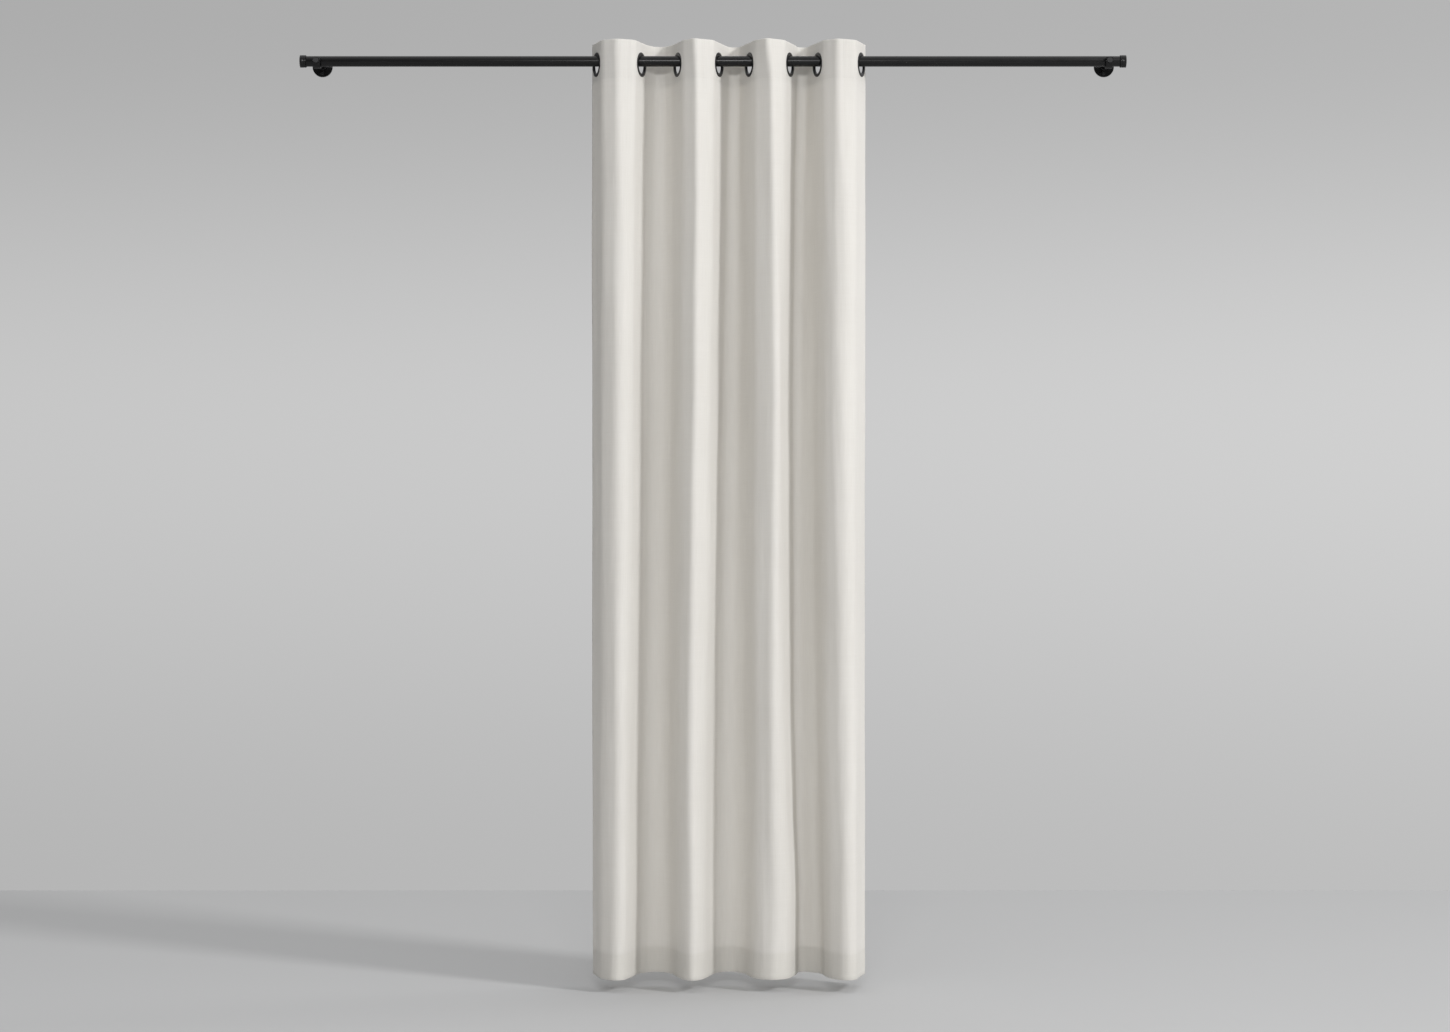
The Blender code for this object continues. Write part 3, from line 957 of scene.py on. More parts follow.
    def build_lock_screw(self) -> None:
        """The thumbscrew: threaded shank with a rounded tip, collar and knurled knob."""
        node = self.node("lock_screw")
        low, high = node_box(node)
        knob_radius = (high.z - low.z) / 2
        knob_back = self.rod.axis_y - self.cradle_radius - 0.001
        knob = self.bar(node + "_knurled", knob_radius, knob_back - 0.0012, low.y, sides=2 * self.knurls)
        knob.inset(lambda centre, normal: abs(normal.y) < 0.1, 0.00022, -0.00035, each=True)
        knob.inset(facing(OUTWARD), 0.0016).inset(facing(OUTWARD), 0.0009, -0.0009)
        collar = self.bar("collar", knob_radius * 0.72, knob_back, knob_back - 0.003, sides=64)
        shank = self.bar("shank", self.lock_shank, high.y, knob_back - 0.002, sides=48)
        groove = [(0.0030, -0.0003), (0.0030, 0.0003), (0.0022, 0.0)]
        for turn in range(self.thread_turns):
            y = knob_back + 0.0012 + turn * self.thread_pitch
            if y <= high.y - 0.001:
                place = Matrix.Translation(self.on_axis(y))
                shank.cut(Workpiece.turned_ring("thread", groove, place, 48))
        knob.join(collar.ease(0.0003)).join(shank)
        self.keep(knob, node, node, screw=True)

    def build(self) -> None:
        """Builds the bracket's six pieces."""
        self.build_plate()
        for name in ("upper", "lower"):
            self.build_wall_screw(name)
        self.build_arm()
        self.build_cradle()
        self.build_lock_screw()


# ---------------------------------------------------------------------------------------------
# Eyelets
# ---------------------------------------------------------------------------------------------


@dataclass
class Eyelet:
    """One snap eyelet: a domed ring with its barrel in front, a domed washer behind."""

    number: int
    centre: Vector
    heading: float
    bore: float = 0.0240
    outer: float = 0.0325
    barrel_wall: float = 0.0012
    flange_back: float = 0.0014
    flange_front: float = 0.0029
    lip: float = 0.0004
    snap_fit: float = 0.0003
    dome_steps: int = 9
    dome_fullness: float = 0.6
    sides: int = 120

    def place(self) -> Matrix:
        """The eyelet's place: its axis lies along the cloth's face normal."""
        return Matrix.Translation(self.centre) @ Matrix.Rotation(self.heading, 4, "Z")

    def dome(self, inner: float, sign: float) -> list[tuple[float, float]]:
        """The rounded top of a flange, from its outer edge in to its bore.

        Args:
            inner: The radius of its bore.
            sign: 1 for the ring in front, -1 for the washer behind.

        Returns:
            (radius, along) points.
        """
        middle, half = (inner + self.outer) / 2, (self.outer - inner) / 2
        rise = self.flange_front - self.flange_back - self.lip
        points = []
        for step in range(self.dome_steps + 1):
            angle = math.pi * step / self.dome_steps
            height = self.flange_back + self.lip + rise * math.sin(angle) ** self.dome_fullness
            points.append((middle + half * math.cos(angle), sign * height))
        return points

    def build(self, material: bpy.types.Material) -> None:
        """Builds the ring and the washer, each riding with its strip of cloth.

        Args:
            material: The eyelets' finish.
        """
        back, front = self.flange_back, self.flange_front
        barrel = self.bore + self.barrel_wall
        ring = [(self.outer, back), *self.dome(self.bore, 1.0), (self.bore, self.lip - front)]
        ring += [(self.bore + self.lip, -front), (barrel, -front), (barrel, back)]
        snap = barrel + self.snap_fit
        washer = [(self.outer, -back), *self.dome(snap, -1.0), (snap, -back)]
        for kind, outline in (("ring", ring), ("washer", washer)):
            node = f"eyelet_{kind}_{self.number}"
            pressed = Workpiece.turned_ring(node + "_pressed", outline, self.place(), self.sides)
            pressed.done(material, EYELET_FINISH.slot, node, f"strip_{self.number}")


# ---------------------------------------------------------------------------------------------
# The hanging cloth
# ---------------------------------------------------------------------------------------------


@dataclass(frozen=True)
class DropStation:
    """One level of the sheet.

    It has a height, an offset from the middle plane, and a place down the cut cloth.
    """

    height: float
    offset: float
    along: float


@dataclass(frozen=True)
class Level:
    """What the folds look like at one height: where their lines lie and how sharply they turn.

    Lengths are in millimetres. An eyelet line may wander along the rod, a crest may sit off the middle
    of its fold, and the turn at a crest takes up a length of cloth.
    """

    height: float
    eyelet_wander: tuple[float, ...]
    crest_off: tuple[float, ...]
    crest_turn: tuple[float, ...]
    blur: float


LEVELS = (
    Level(0.05, (0, 0, 0, 0, 0, 0, 0, 0), (-2, 0, -9, 0, -8, -2, -8), (18, 46, 12, 44, 14, 42, 14), 2),
    Level(-0.06, (0, 0, 0, 0, 0, 0, 0, 0), (0, 0, -4, 0, 4, -3, -8), (20, 48, 13, 46, 14, 46, 20), 2),
    Level(-0.37, (0, -4, -1, -4, 0, -3, 1, 0), (6, 0, 0, -1, 12, -16, 10), (34, 54, 14, 54, 15, 54, 80), 5),
    Level(-0.90, (0, -9, -3, -10, 0, -8, 2, 0), (12, 0, 0, -2, 20, -24, 18), (40, 60, 15, 60, 16, 60, 90), 7),
    Level(
        -1.17, (0, -10, -6, -14, 0, -6, 4, 0), (14, -1, -3, -4, 16, -28, 20), (42, 62, 16, 62, 18, 58, 84), 8
    ),
    Level(
        -1.71, (0, -13, -9, -20, 0, -3, 8, 0), (14, -1, -5, -6, 14, -34, 20), (42, 64, 20, 64, 26, 52, 70), 9
    ),
    Level(
        -1.98, (0, -15, -9, -23, 1, 4, 12, 0), (16, -2, -5, -8, 12, -38, 22), (40, 64, 24, 64, 32, 46, 66), 10
    ),
    Level(
        -2.24, (0, -16, -7, -25, 2, 14, 17, 0), (14, -2, 0, -9, 8, -42, 22), (40, 64, 30, 64, 36, 42, 64), 11
    ),
    Level(
        -2.45, (0, -20, -4, -25, 0, 12, 20, 0), (8, -2, -2, -10, 4, -44, 22), (40, 62, 34, 62, 40, 40, 62), 12
    ),
)


@dataclass
class Drape:
    """The shape of the hanging panel: where a point of the cut cloth lies.

    At each height the cloth runs flat past an eyelet line, eases into the fold's flank, turns at the
    crest and comes back. Its length between two eyelet lines never changes, so the lines' places set
    how deep each fold is. A crest moves crest_travel times as far along the rod as its place moves in
    the cloth. Fine creases and gathers lie over that.
    """

    eyelets: list[Vector]
    pitch: float = 0.1838
    return_length: float = 0.057
    return_curl: float = math.radians(40)
    tilt: float = math.radians(20)
    flat_reach: float = 0.0340
    flank_ease: float = 0.022
    top: float = 0.050
    bottom: float = -2.450
    header: float = 0.108
    columns_per_pitch: int = 44
    deepen: float = 0.07
    crest_travel: float = 1.22
    fold_samples: int = 240
    solver_rounds: int = 20
    solver_nudge: float = 1e-4
    soft_after: float = 0.30
    broad_crease: float = 0.0019
    narrow_crease: float = 0.0010
    fine_crease: float = 0.00034
    gather_depth: float = 0.0007
    header_ripple: float = 0.0007
    flat_ease: float = 0.020

    def __post_init__(self) -> None:
        """Lays out the cloth's columns and solves the folds at every level."""
        self.axis_y = self.eyelets[0].y
        self.folds = len(self.eyelets) - 1
        self.step = self.pitch / self.columns_per_pitch
        ends = round(self.return_length / self.step)
        start = [-self.return_length + self.return_length * step / ends for step in range(ends)]
        middle = [self.step * step for step in range(self.folds * self.columns_per_pitch)]
        end = [self.folds * self.pitch + self.return_length * step / ends for step in range(ends + 1)]
        self.columns = np.array(start + middle + end)
        self.midways = (self.columns[1:] + self.columns[:-1]) / 2
        self.lengths = np.diff(self.columns)
        self.heights = np.array([level.height for level in LEVELS][::-1])
        self.headings = np.array([self._level_headings(level) for level in LEVELS][::-1])
        self.wanders = np.array([level.eyelet_wander for level in LEVELS][::-1]) / 1000.0
        self.blurs = np.array([level.blur for level in LEVELS][::-1]) / 1000.0

    def _fold_heading(
        self, places: np.ndarray, crest: float, turn: float, rise: float, fall: float
    ) -> np.ndarray:
        """The heading along one fold, as if it came forwards.

        Args:
            places: Places across the fold's cloth, from its first eyelet line.
            crest: The crest's place.
            turn: How much cloth the turn at the crest takes.
            rise: The first flank's heading.
            fall: The second flank's heading.

        Returns:
            The heading at each place.
        """
        lean = math.pi / 2 - self.tilt
        eased = self.flat_reach + self.flank_ease
        stops = [0.0, self.flat_reach, eased, crest - turn / 2, crest + turn / 2]
        stops += [self.pitch - eased, self.pitch - self.flat_reach, self.pitch]
        values = [lean, lean, rise, rise, -fall, -fall, -lean, -lean]
        for index in range(1, len(stops)):
            stops[index] = max(stops[index], stops[index - 1] + 1e-5)
        return np.interp(places, stops, values)

    def _solved_fold(self, gap: float, crest: float, turn: float) -> tuple[float, float]:
        """The two flank headings that use up the cloth and end a gap away, on the rod's axis.

        Args:
            gap: How far apart the fold's two eyelet lines are.
            crest: The crest's place.
            turn: How much cloth the turn at the crest takes.

        Returns:
            The first and the second flank's heading.
        """
        places = (np.arange(self.fold_samples) + 0.5) / self.fold_samples * self.pitch
        share = self.pitch / self.fold_samples

        def miss(guess: np.ndarray) -> np.ndarray:
            """How far the fold's end misses its place, along the rod and across it."""
            heading = self._fold_heading(places, crest, turn, guess[0], guess[1])
            return np.array([np.cos(heading).sum() * share - gap, np.sin(heading).sum() * share])

        guess = np.array([0.8, 0.8])
        nudge = self.solver_nudge
        for _ in range(self.solver_rounds):
            error = miss(guess)
            slope = np.column_stack([(miss(guess + nudge * axis) - error) / nudge for axis in np.eye(2)])
            move = np.linalg.lstsq(slope, -error, rcond=None)[0]
            guess = np.clip(guess + np.clip(move, -0.2, 0.2), 0.05, 1.60)
        return float(guess[0]), float(guess[1])

    def _level_headings(self, level: Level) -> np.ndarray:
        """The cloth's heading between each two columns at one level, 0 along the rod."""
        lean = math.pi / 2 - self.tilt
        headings = np.empty(len(self.midways))
        lines = [eyelet.x + wander / 1000.0 for eyelet, wander in zip(self.eyelets, level.eyelet_wander)]
        for fold in range(self.folds):
            side = -1.0 if fold % 2 == 0 else 1.0
            chosen = (self.midways > fold * self.pitch) & (self.midways < (fold + 1) * self.pitch)
            crest = self.pitch / 2 + level.crest_off[fold] / 1000.0 / self.crest_travel
            turn = level.crest_turn[fold] / 1000.0
            rise, fall = self._solved_fold(lines[fold + 1] - lines[fold], crest, turn)
            local = self.midways[chosen] - fold * self.pitch
            headings[chosen] = side * self._fold_heading(local, crest, turn, rise, fall)
        last = self.folds * self.pitch
        for chosen, away, side in (
            (self.midways < 0.0, -self.midways, -1.0),
            (self.midways > last, self.midways - last, 1.0 if self.folds % 2 else -1.0),
        ):
            loose = self.return_length - self.flat_reach
            curl = np.clip((away[chosen] - self.flat_reach) / loose, 0.0, 1.0)
            headings[chosen] = side * (lean + self.return_curl * curl)
        return headings

    def _blurred(self, values: np.ndarray, width: float) -> np.ndarray:
        """Values along the columns, smoothed over a width of cloth."""
        reach = max(1, math.ceil(3 * width / self.step))
        kernel = np.exp(-0.5 * (np.arange(-reach, reach + 1) * self.step / width) ** 2)
        padded = np.pad(values, reach, mode="edge")
        return np.convolve(padded, kernel / kernel.sum(), mode="valid")

    def _at(self, height: float, table: np.ndarray) -> np.ndarray:
        """A row of a table of levels, smoothly taken at a height."""
        place = float(np.interp(height, self.heights, np.arange(len(self.heights))))
        lower = min(int(place), len(self.heights) - 2)
        share = place - lower
        share = share * share * (3.0 - 2.0 * share) * 0.5 + share * 0.5
        return table[lower] * (1.0 - share) + table[lower + 1] * share

    def softness(self, height: float) -> float:
        """How far the cloth has left the header's stiff shape, from 0 to 1."""
        share = min(1.0, max(0.0, (self.top - self.header + 0.01 - height) / self.soft_after))
        return share * share * (3.0 - 2.0 * share)

    def crease(self, place: float, height: float) -> float:
        """The height of the cloth's own creases and ripples over its smooth drape."""
        soft = 0.10 + 0.90 * self.softness(height)
        broad = noise.noise(Vector((place * 17.0, height * 1.3, 0.7)))
        narrow = noise.noise(Vector((place * 46.0 + 0.8 * broad, height * 3.1, 5.2)))
        fine = noise.noise(Vector((place * 120.0, height * 9.0 + narrow, 9.6)))
        below = self.top - self.header - 0.006 - height
        pucker = math.exp(-below / 0.055) if below > 0 else 0.35 * math.exp(below / 0.010)
        gathers = noise.noise(Vector((place * 95.0, height * 2.0, 14.1)))
        ripple = noise.noise(Vector((place * 78.0, height * 1.6, 21.3)))
        stiff = self.header_ripple * ripple * (1.0 - self.softness(height))
        creases = self.broad_crease * broad + self.narrow_crease * narrow + self.fine_crease * fine
        return soft * creases + self.gather_depth * pucker * gathers + stiff

    def row(self, height: float) -> tuple[np.ndarray, np.ndarray]:
        """The cloth's middle line at a height.

        Args:
            height: The level.

        Returns:
            Plan points at every column, and the unit face normals there.
        """
        blur = float(self._at(height, self.blurs[:, None])[0])
        headings = self._blurred(self._at(height, self.headings), blur)
        x = np.concatenate([[0.0], np.cumsum(self.lengths * np.cos(headings))])
        y = np.concatenate([[0.0], np.cumsum(self.lengths * np.sin(headings))])
        lines = np.arange(len(self.eyelets)) * self.pitch
        targets = np.array([eyelet.x for eyelet in self.eyelets]) + self._at(height, self.wanders)
        x += np.interp(self.columns, lines, targets - np.interp(lines, self.columns, x))
        y -= np.interp(self.columns, lines, np.interp(lines, self.columns, y))
        below = self.top - self.header
        drop = np.clip((below - height) / (below - self.bottom), 0.0, 1.0)
        y = self.axis_y + y * (1.0 + self.deepen * drop)
        tangent = np.stack([np.gradient(x, self.columns), np.gradient(y, self.columns)], axis=1)
        tangent /= np.linalg.norm(tangent, axis=1)[:, None]
        normal = np.stack([tangent[:, 1], -tangent[:, 0]], axis=1)
        rise = np.array([self.crease(place, height) for place in self.columns])
        for index, eyelet in enumerate(self.eyelets):
            away = np.hypot(self.columns - index * self.pitch, height - eyelet.z)
            rise *= np.clip((away - self.flat_reach) / self.flat_ease, 0.0, 1.0)
        middle = np.stack([x, y], axis=1) + normal * rise[:, None]
        return middle, normal


@dataclass
class Panel:
    """The whole curtain panel: face cloth with turned header and hem, tape, side hems and stitching.

    The sheet's rows are hem_rows, drop_rows and header_rows apart in its three stretches.
    """

    drape: Drape
    tube: bpy.types.Object
    thickness: float = 0.0006
    tape_thickness: float = 0.0004
    layer_gap: float = 0.0003
    hem: float = 0.070
    hole_radius: float = 0.0284
    seam_inset: float = 0.006
    stitch_length: float = 0.0031
    stitch_pitch: float = 0.0042
    stitch_radius: float = 0.00026
    side_hem: float = 0.020
    # How much of the painted shade for doubled cloth the header gets.
    header_shade_share: float = 0.20
    hem_rows: float = 0.008
    drop_rows: float = 0.0115
    header_rows: float = 0.0040
    bottom_steps: int = 3
    top_steps: int = 5
    doubled_ease: float = 0.004
    seam_reach: float = 0.0050
    seam_depth: float = 0.00036
    seam_pucker: float = 0.00026
    blend_inset: float = 0.012

    def __post_init__(self) -> None:
        """Works out the layers and samples the drape at every level."""
        self.face_offset = self.tape_thickness / 2 + self.layer_gap + self.thickness / 2
        self.hem_offset = self.face_offset - self.thickness - self.layer_gap
        self.cloth = LinenCloth().build()
        self.tape_cloth = HeadingTapeCloth().build()
        self.thread = SewingThread().build()
        self.course = self._course()
        self.rows = {}

    def level(self, height: float) -> tuple[np.ndarray, np.ndarray]:
        """The drape's row at a height, kept for the next time."""
        key = round(height, 6)
        if key not in self.rows:
            self.rows[key] = self.drape.row(height)
        return self.rows[key]

    def _levels(self, start: float, end: float, spacing: float) -> list[float]:
        """Heights from start to end, both included, about spacing apart."""
        count = max(1, round(abs(end - start) / spacing))
        return [start + (end - start) * step / count for step in range(count + 1)]

    def _course(self) -> list[DropStation]:
        """The sheet's way down the cut cloth: hem edge, bottom turn, face, top turn, header edge."""
        drape = self.drape
        hem_turn = (self.face_offset - self.hem_offset) / 2
        top_turn = self.face_offset
        fine_bottom = drape.top - drape.header - 0.004
        turned = self._levels(drape.bottom + self.hem, drape.bottom + hem_turn, self.hem_rows)
        points = [(z, self.hem_offset) for z in turned]
        middle = (self.face_offset + self.hem_offset) / 2
        for step in range(1, self.bottom_steps):
            angle = math.pi * step / self.bottom_steps
            z = drape.bottom + hem_turn * (1 - math.sin(angle))
            points.append((z, middle - hem_turn * math.cos(angle)))
        face = self._levels(drape.bottom + hem_turn, drape.bottom + self.hem + 0.004, self.hem_rows)
        face += self._levels(drape.bottom + self.hem + 0.004, fine_bottom, self.drop_rows)[1:]
        face += self._levels(fine_bottom, drape.top - top_turn, self.header_rows)[1:]
        points += [(z, self.face_offset) for z in face]
        for step in range(1, self.top_steps):
            angle = math.pi * step / self.top_steps
            z = drape.top - top_turn * (1 - math.sin(angle))
            points.append((z, self.face_offset * math.cos(angle)))
        header = self._levels(drape.top - top_turn, drape.top - drape.header, self.header_rows)
        points += [(z, -self.face_offset) for z in header]
        stations, along = [], 0.0
        for index, (height, offset) in enumerate(points):
            if index:
                before = points[index - 1]
                along += math.hypot(height - before[0], offset - before[1])
            stations.append(DropStation(height, offset, along))
        return stations

    def doubled_shade_at(self, height: float, place: float) -> float:
        """How much painted shade the cloth gets where it is doubled: 1 in the hems, and less in the header,
        over its pale tape.
        """
        drape = self.drape
        from_header = height - (drape.top - drape.header)
        from_hem = drape.bottom + self.hem - height
        from_edge = self.side_hem - min(place - drape.columns[0], drape.columns[-1] - place)
        hemmed = np.clip(max(from_hem, from_edge) / self.doubled_ease + 0.5, 0.0, 1.0)
        backed = np.clip(from_header / self.doubled_ease + 0.5, 0.0, self.header_shade_share)
        return float(max(hemmed, backed))

    def seam_dip(self, height: float, place: float) -> float:
        """How far the seams draw the face in, with a slight pucker between stitches."""
        drape = self.drape
        dip = 0.0
        for seam in (drape.top - drape.header + self.seam_inset, drape.bottom + self.hem - self.seam_inset):
            near = math.exp(-(((height - seam) / self.seam_reach) ** 2))
            pucker = noise.noise(Vector((place * 130.0, seam, 3.0)))
            dip += near * (self.seam_depth + self.seam_pucker * pucker)
        return dip

    def points(self, stations: Sequence[DropStation], first: int, last: int) -> np.ndarray:
        """Points of the sheet for a run of columns at each station.

        Args:
            stations: The levels.
            first: The first column.
            last: The last column, included.

        Returns:
            An array of levels by columns by three.
        """
        grid = []
        run = slice(first, last + 1)
        for station in stations:
            middle, normal = self.level(station.height)
            part = middle[run] + normal[run] * station.offset
            dips = [self.seam_dip(station.height, place) for place in self.drape.columns[run]]
            part = part - normal[run] * np.array(dips)[:, None]
            grid.append(np.column_stack([part, np.full(len(part), station.height)]))
        return np.array(grid)

    def sheet_piece(
        self,
        name: str,
        stations: Sequence[DropStation],
        columns: tuple[int, int],
        thickness: float,
        material: bpy.types.Material,
    ) -> bpy.types.Object:
        """One closed length of sheet between two columns, with its share of the eyelet holes.

        Args:
            name: The piece's name.
            stations: The levels that it runs through.
            columns: Its first and last column.
            thickness: The sheet's thickness.
            material: The finish.

        Returns:
            The finished object, riding on nothing yet.
        """
        made = link_mesh(name, self._skin(name, stations, columns), material)
        solid = made.modifiers.new("cloth_thickness", "SOLIDIFY")
        solid.thickness = thickness
        solid.offset = 0.0
        select_only(made)
        bpy.ops.object.modifier_apply(modifier=solid.name)
        bpy.ops.object.shade_smooth_by_angle(angle=math.radians(50))
        log.info("%s: %d faces", name, len(made.data.polygons))
        return made

    def _skin(
        self, name: str, stations: Sequence[DropStation], columns: tuple[int, int]
    ) -> bpy.types.Mesh:
        """The sheet's middle surface, with its flat coordinates and its doubled stretches marked for painted
        shade.

        Args:
            name: The mesh's name.
            stations: The levels that it runs through.
            columns: Its first and last column.

        Returns:
            The mesh, with its eyelet holes open.
        """
        first, last = columns
        grid = self.points(stations, first, last)
        builder = bmesh.new()
        uv_layer = builder.loops.layers.uv.new(UV_NAME)
        doubled = builder.verts.layers.float.new(DOUBLED_SHADE_NAME)
        across = self.drape.columns[first : last + 1]
        verts = [[builder.verts.new(point) for point in line] for line in grid]
        place_of = {}
        for line, station in zip(verts, stations):
            for vert, place in zip(line, across):
                place_of[vert] = (place, station)
                # The share of painted shade for doubled cloth.
                vert[doubled] = self.doubled_shade_at(station.height, place)
        cut_away = []
        for low, high in zip(verts, verts[1:]):
            for column in range(len(across) - 1):
                corners = (low[column], low[column + 1], high[column + 1], high[column])
                face = builder.faces.new(corners)
                face.smooth = True
                for loop in face.loops:
                    place, station = place_of[loop.vert]
                    loop[uv_layer].uv = (place, station.along)
                if self._in_hole(corners, place_of):
                    cut_away.append(face)
        self._open_holes(builder, cut_away, place_of)
        mesh = bpy.data.meshes.new(name)
        builder.to_mesh(mesh)
        builder.free()
        return mesh

    def _open_holes(
        self, builder: bmesh.types.BMesh, cut_away: list[bmesh.types.BMFace], place_of: dict
    ) -> None:
        """Cuts faces away and draws the rims that they leave on to true circles.

        Args:
            builder: The sheet.
            cut_away: The faces inside the eyelets' holes.
            place_of: Each vertex's place across the cloth and its station.
        """
        rim = {vert for face in cut_away for vert in face.verts}
        bmesh.ops.delete(builder, geom=cut_away, context="FACES_ONLY")
        stray = [vert for vert in rim if not vert.link_faces]
        for vert in rim:
            if vert.link_faces:
                vert.co = self._on_rim(*place_of[vert])
        bmesh.ops.delete(builder, geom=stray, context="VERTS")
        loose = [edge for edge in builder.edges if not edge.link_faces]
        bmesh.ops.delete(builder, geom=loose, context="EDGES")

    def _nearest_eyelet(self, place: float) -> int:
        """The index of the eyelet nearest to a place across the cloth."""
        return int(np.clip(round(place / self.drape.pitch), 0, len(self.drape.eyelets) - 1))

    def _in_hole(self, corners: Sequence[bmesh.types.BMVert], place_of: dict) -> bool:
        """True if a face's middle lies inside an eyelet's hole."""
        place = sum(place_of[vert][0] for vert in corners) / len(corners)
        height = sum(place_of[vert][1].height for vert in corners) / len(corners)
        index = self._nearest_eyelet(place)
        eyelet = self.drape.eyelets[index]
        return math.hypot(place - index * self.drape.pitch, height - eyelet.z) < self.hole_radius

    def _on_rim(self, place: float, station: DropStation) -> Vector:
        """The point of the hole's rim nearest to a point of the cloth."""
        index = self._nearest_eyelet(place)
        eyelet = self.drape.eyelets[index]
        across = place - index * self.drape.pitch
        up = station.height - eyelet.z
        scale = self.hole_radius / max(math.hypot(across, up), 1e-6)
        heading = (-1.0 if index % 2 == 0 else 1.0) * (math.pi / 2 - self.drape.tilt)
        along = Vector((math.cos(heading), math.sin(heading), 0.0))
        normal = Vector((math.sin(heading), -math.cos(heading), 0.0))
        flat = Vector((eyelet.x, eyelet.y, eyelet.z))
        return flat + along * across * scale + Vector((0, 0, up * scale)) + normal * station.offset

    def _point_at(self, place: float, height: float, offset: float) -> tuple[Vector, Vector]:
        """A point over the cloth's middle plane, and the direction across the cloth there."""
        middle, normal = self.level(height)
        columns = self.drape.columns
        x = np.interp(place, columns, middle[:, 0] + normal[:, 0] * offset)
        y = np.interp(place, columns, middle[:, 1] + normal[:, 1] * offset)
        direction = Vector(
            (-np.interp(place, columns, normal[:, 1]), np.interp(place, columns, normal[:, 0]), 0.0)
        ).normalized()
        return Vector((x, y, height)), direction

    def stitches(self, name: str, places: Sequence[tuple[Vector, Vector]]) -> bpy.types.Object:
        """A line of stitches, each a short lens of thread.

        Args:
            name: The piece's name.
            places: Each stitch's middle and direction.

        Returns:
            All the stitches as one object.
        """
        builder = bmesh.new()
        size = Matrix.Diagonal((self.stitch_length / 2, self.stitch_radius, self.stitch_radius, 1.0))
        lens = size @ Matrix.Rotation(math.pi / 2, 4, "Y")
        bmesh.ops.create_uvsphere(builder, u_segments=6, v_segments=4, radius=1.0, matrix=lens)
        builder.verts.index_update()
        shape = [vert.co.copy() for vert in builder.verts]
        faces = [[vert.index for vert in face.verts] for face in builder.faces]
        builder.free()
        points, links = [], []
        for middle, direction in places:
            turn = direction.to_track_quat("X", "Z").to_matrix()
            links += [[index + len(points) for index in face] for face in faces]
            points += [middle + turn @ point for point in shape]
        mesh = bpy.data.meshes.new(name)
        mesh.from_pydata(points, [], links)
        mesh.shade_smooth()
        made = link_mesh(name, mesh, self.thread)
        return made

    def seam(self, name: str, first: int, last: int, height: float) -> bpy.types.Object:
        """Level stitching through the layers, on the face and on the back.

        Args:
            name: The piece's name.
            first: The first column.
            last: The last column.
            height: The seam's height.

        Returns:
            The stitching.
        """
        drape = self.drape
        start, end = drape.columns[first], drape.columns[last]
        count = max(1, int((end - start) / self.stitch_pitch))
        header = height > drape.top - drape.header
        back = self.face_offset if header else -self.hem_offset
        places = []
        for layer in Layer:
            lift = self.thickness / 2 - 0.4 * self.stitch_radius
            offset = self.face_offset + lift if layer is Layer.FACE else -back - lift
            for index in range(count):
                place = start + (index + 0.5) * (end - start) / count
                shift = self.seam_dip(height, place)
                places.append(self._point_at(place, height, offset - shift))
        return self.stitches(name, places)

    def side_piece(self, side: Side) -> tuple[bpy.types.Object, bpy.types.Object]:
        """The narrow turned hem down one side edge, and its stitching.

        Args:
            side: The edge of the panel.

        Returns:
            The band of cloth and the stitching.
        """
        drape = self.drape
        last = len(drape.columns) - 1
        width = round(self.side_hem / drape.step)
        columns = (0, width) if side is Side.LEFT else (last - width, last)
        stations, along = [], 0.0
        low_end, high_end = drape.bottom + self.hem + 0.001, drape.top - drape.header - 0.001
        levels = self._levels(low_end, high_end, self.drop_rows)
        for index, height in enumerate(levels):
            along += abs(height - levels[index - 1]) if index else 0.0
            stations.append(DropStation(height, self.hem_offset, along))
        band = self.sheet_piece(
            f"side_hem_{side.value}", stations, columns, self.thickness, self.cloth
        )
        inner = drape.columns[columns[1] if side is Side.LEFT else columns[0]]
        place = inner + (-0.003 if side is Side.LEFT else 0.003)
        count = int((levels[-1] - levels[0]) / (self.stitch_pitch * 1.15))
        offset = self.face_offset + self.thickness / 2 - 0.4 * self.stitch_radius
        places = []
        for index in range(count):
            height = levels[0] + (index + 0.5) * (levels[-1] - levels[0]) / count
            near = min(range(len(levels)), key=lambda item: abs(levels[item] - height))
            other = min(len(levels) - 1, near + 1) if height > levels[near] else max(0, near - 1)
            low, _ = self._point_at(place, levels[near], offset)
            high, _ = self._point_at(place, levels[other], offset)
            share = abs(height - levels[near]) / max(abs(levels[other] - levels[near]), 1e-9)
            middle = low.lerp(high, share) if near != other else low
            places.append((middle, Vector((0.0, 0.0, 1.0))))
        return band, self.stitches(f"side_stitches_{side.value}", places)

    def fold_columns(self) -> list[tuple[int, int]]:
        """First and last column of each length of cloth: left return, the folds, right return."""
        columns, pitch = self.drape.columns, self.drape.pitch
        count = len(self.drape.eyelets)
        lines = [int(np.argmin(np.abs(columns - index * pitch))) for index in range(count)]
        ends = [0, *lines, len(columns) - 1]
        return list(zip(ends, ends[1:]))

    def attach(self, made: bpy.types.Object, fold: int) -> None:
        """Lets a piece ride: the returns with the end strips; a fold between two strips is left in place, on
        no body.
        """
        last = len(self.drape.eyelets)
        if fold == 0:
            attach(made, "strip_1")
        elif fold == last:
            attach(made, f"strip_{last}")
        else:
            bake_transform(made)

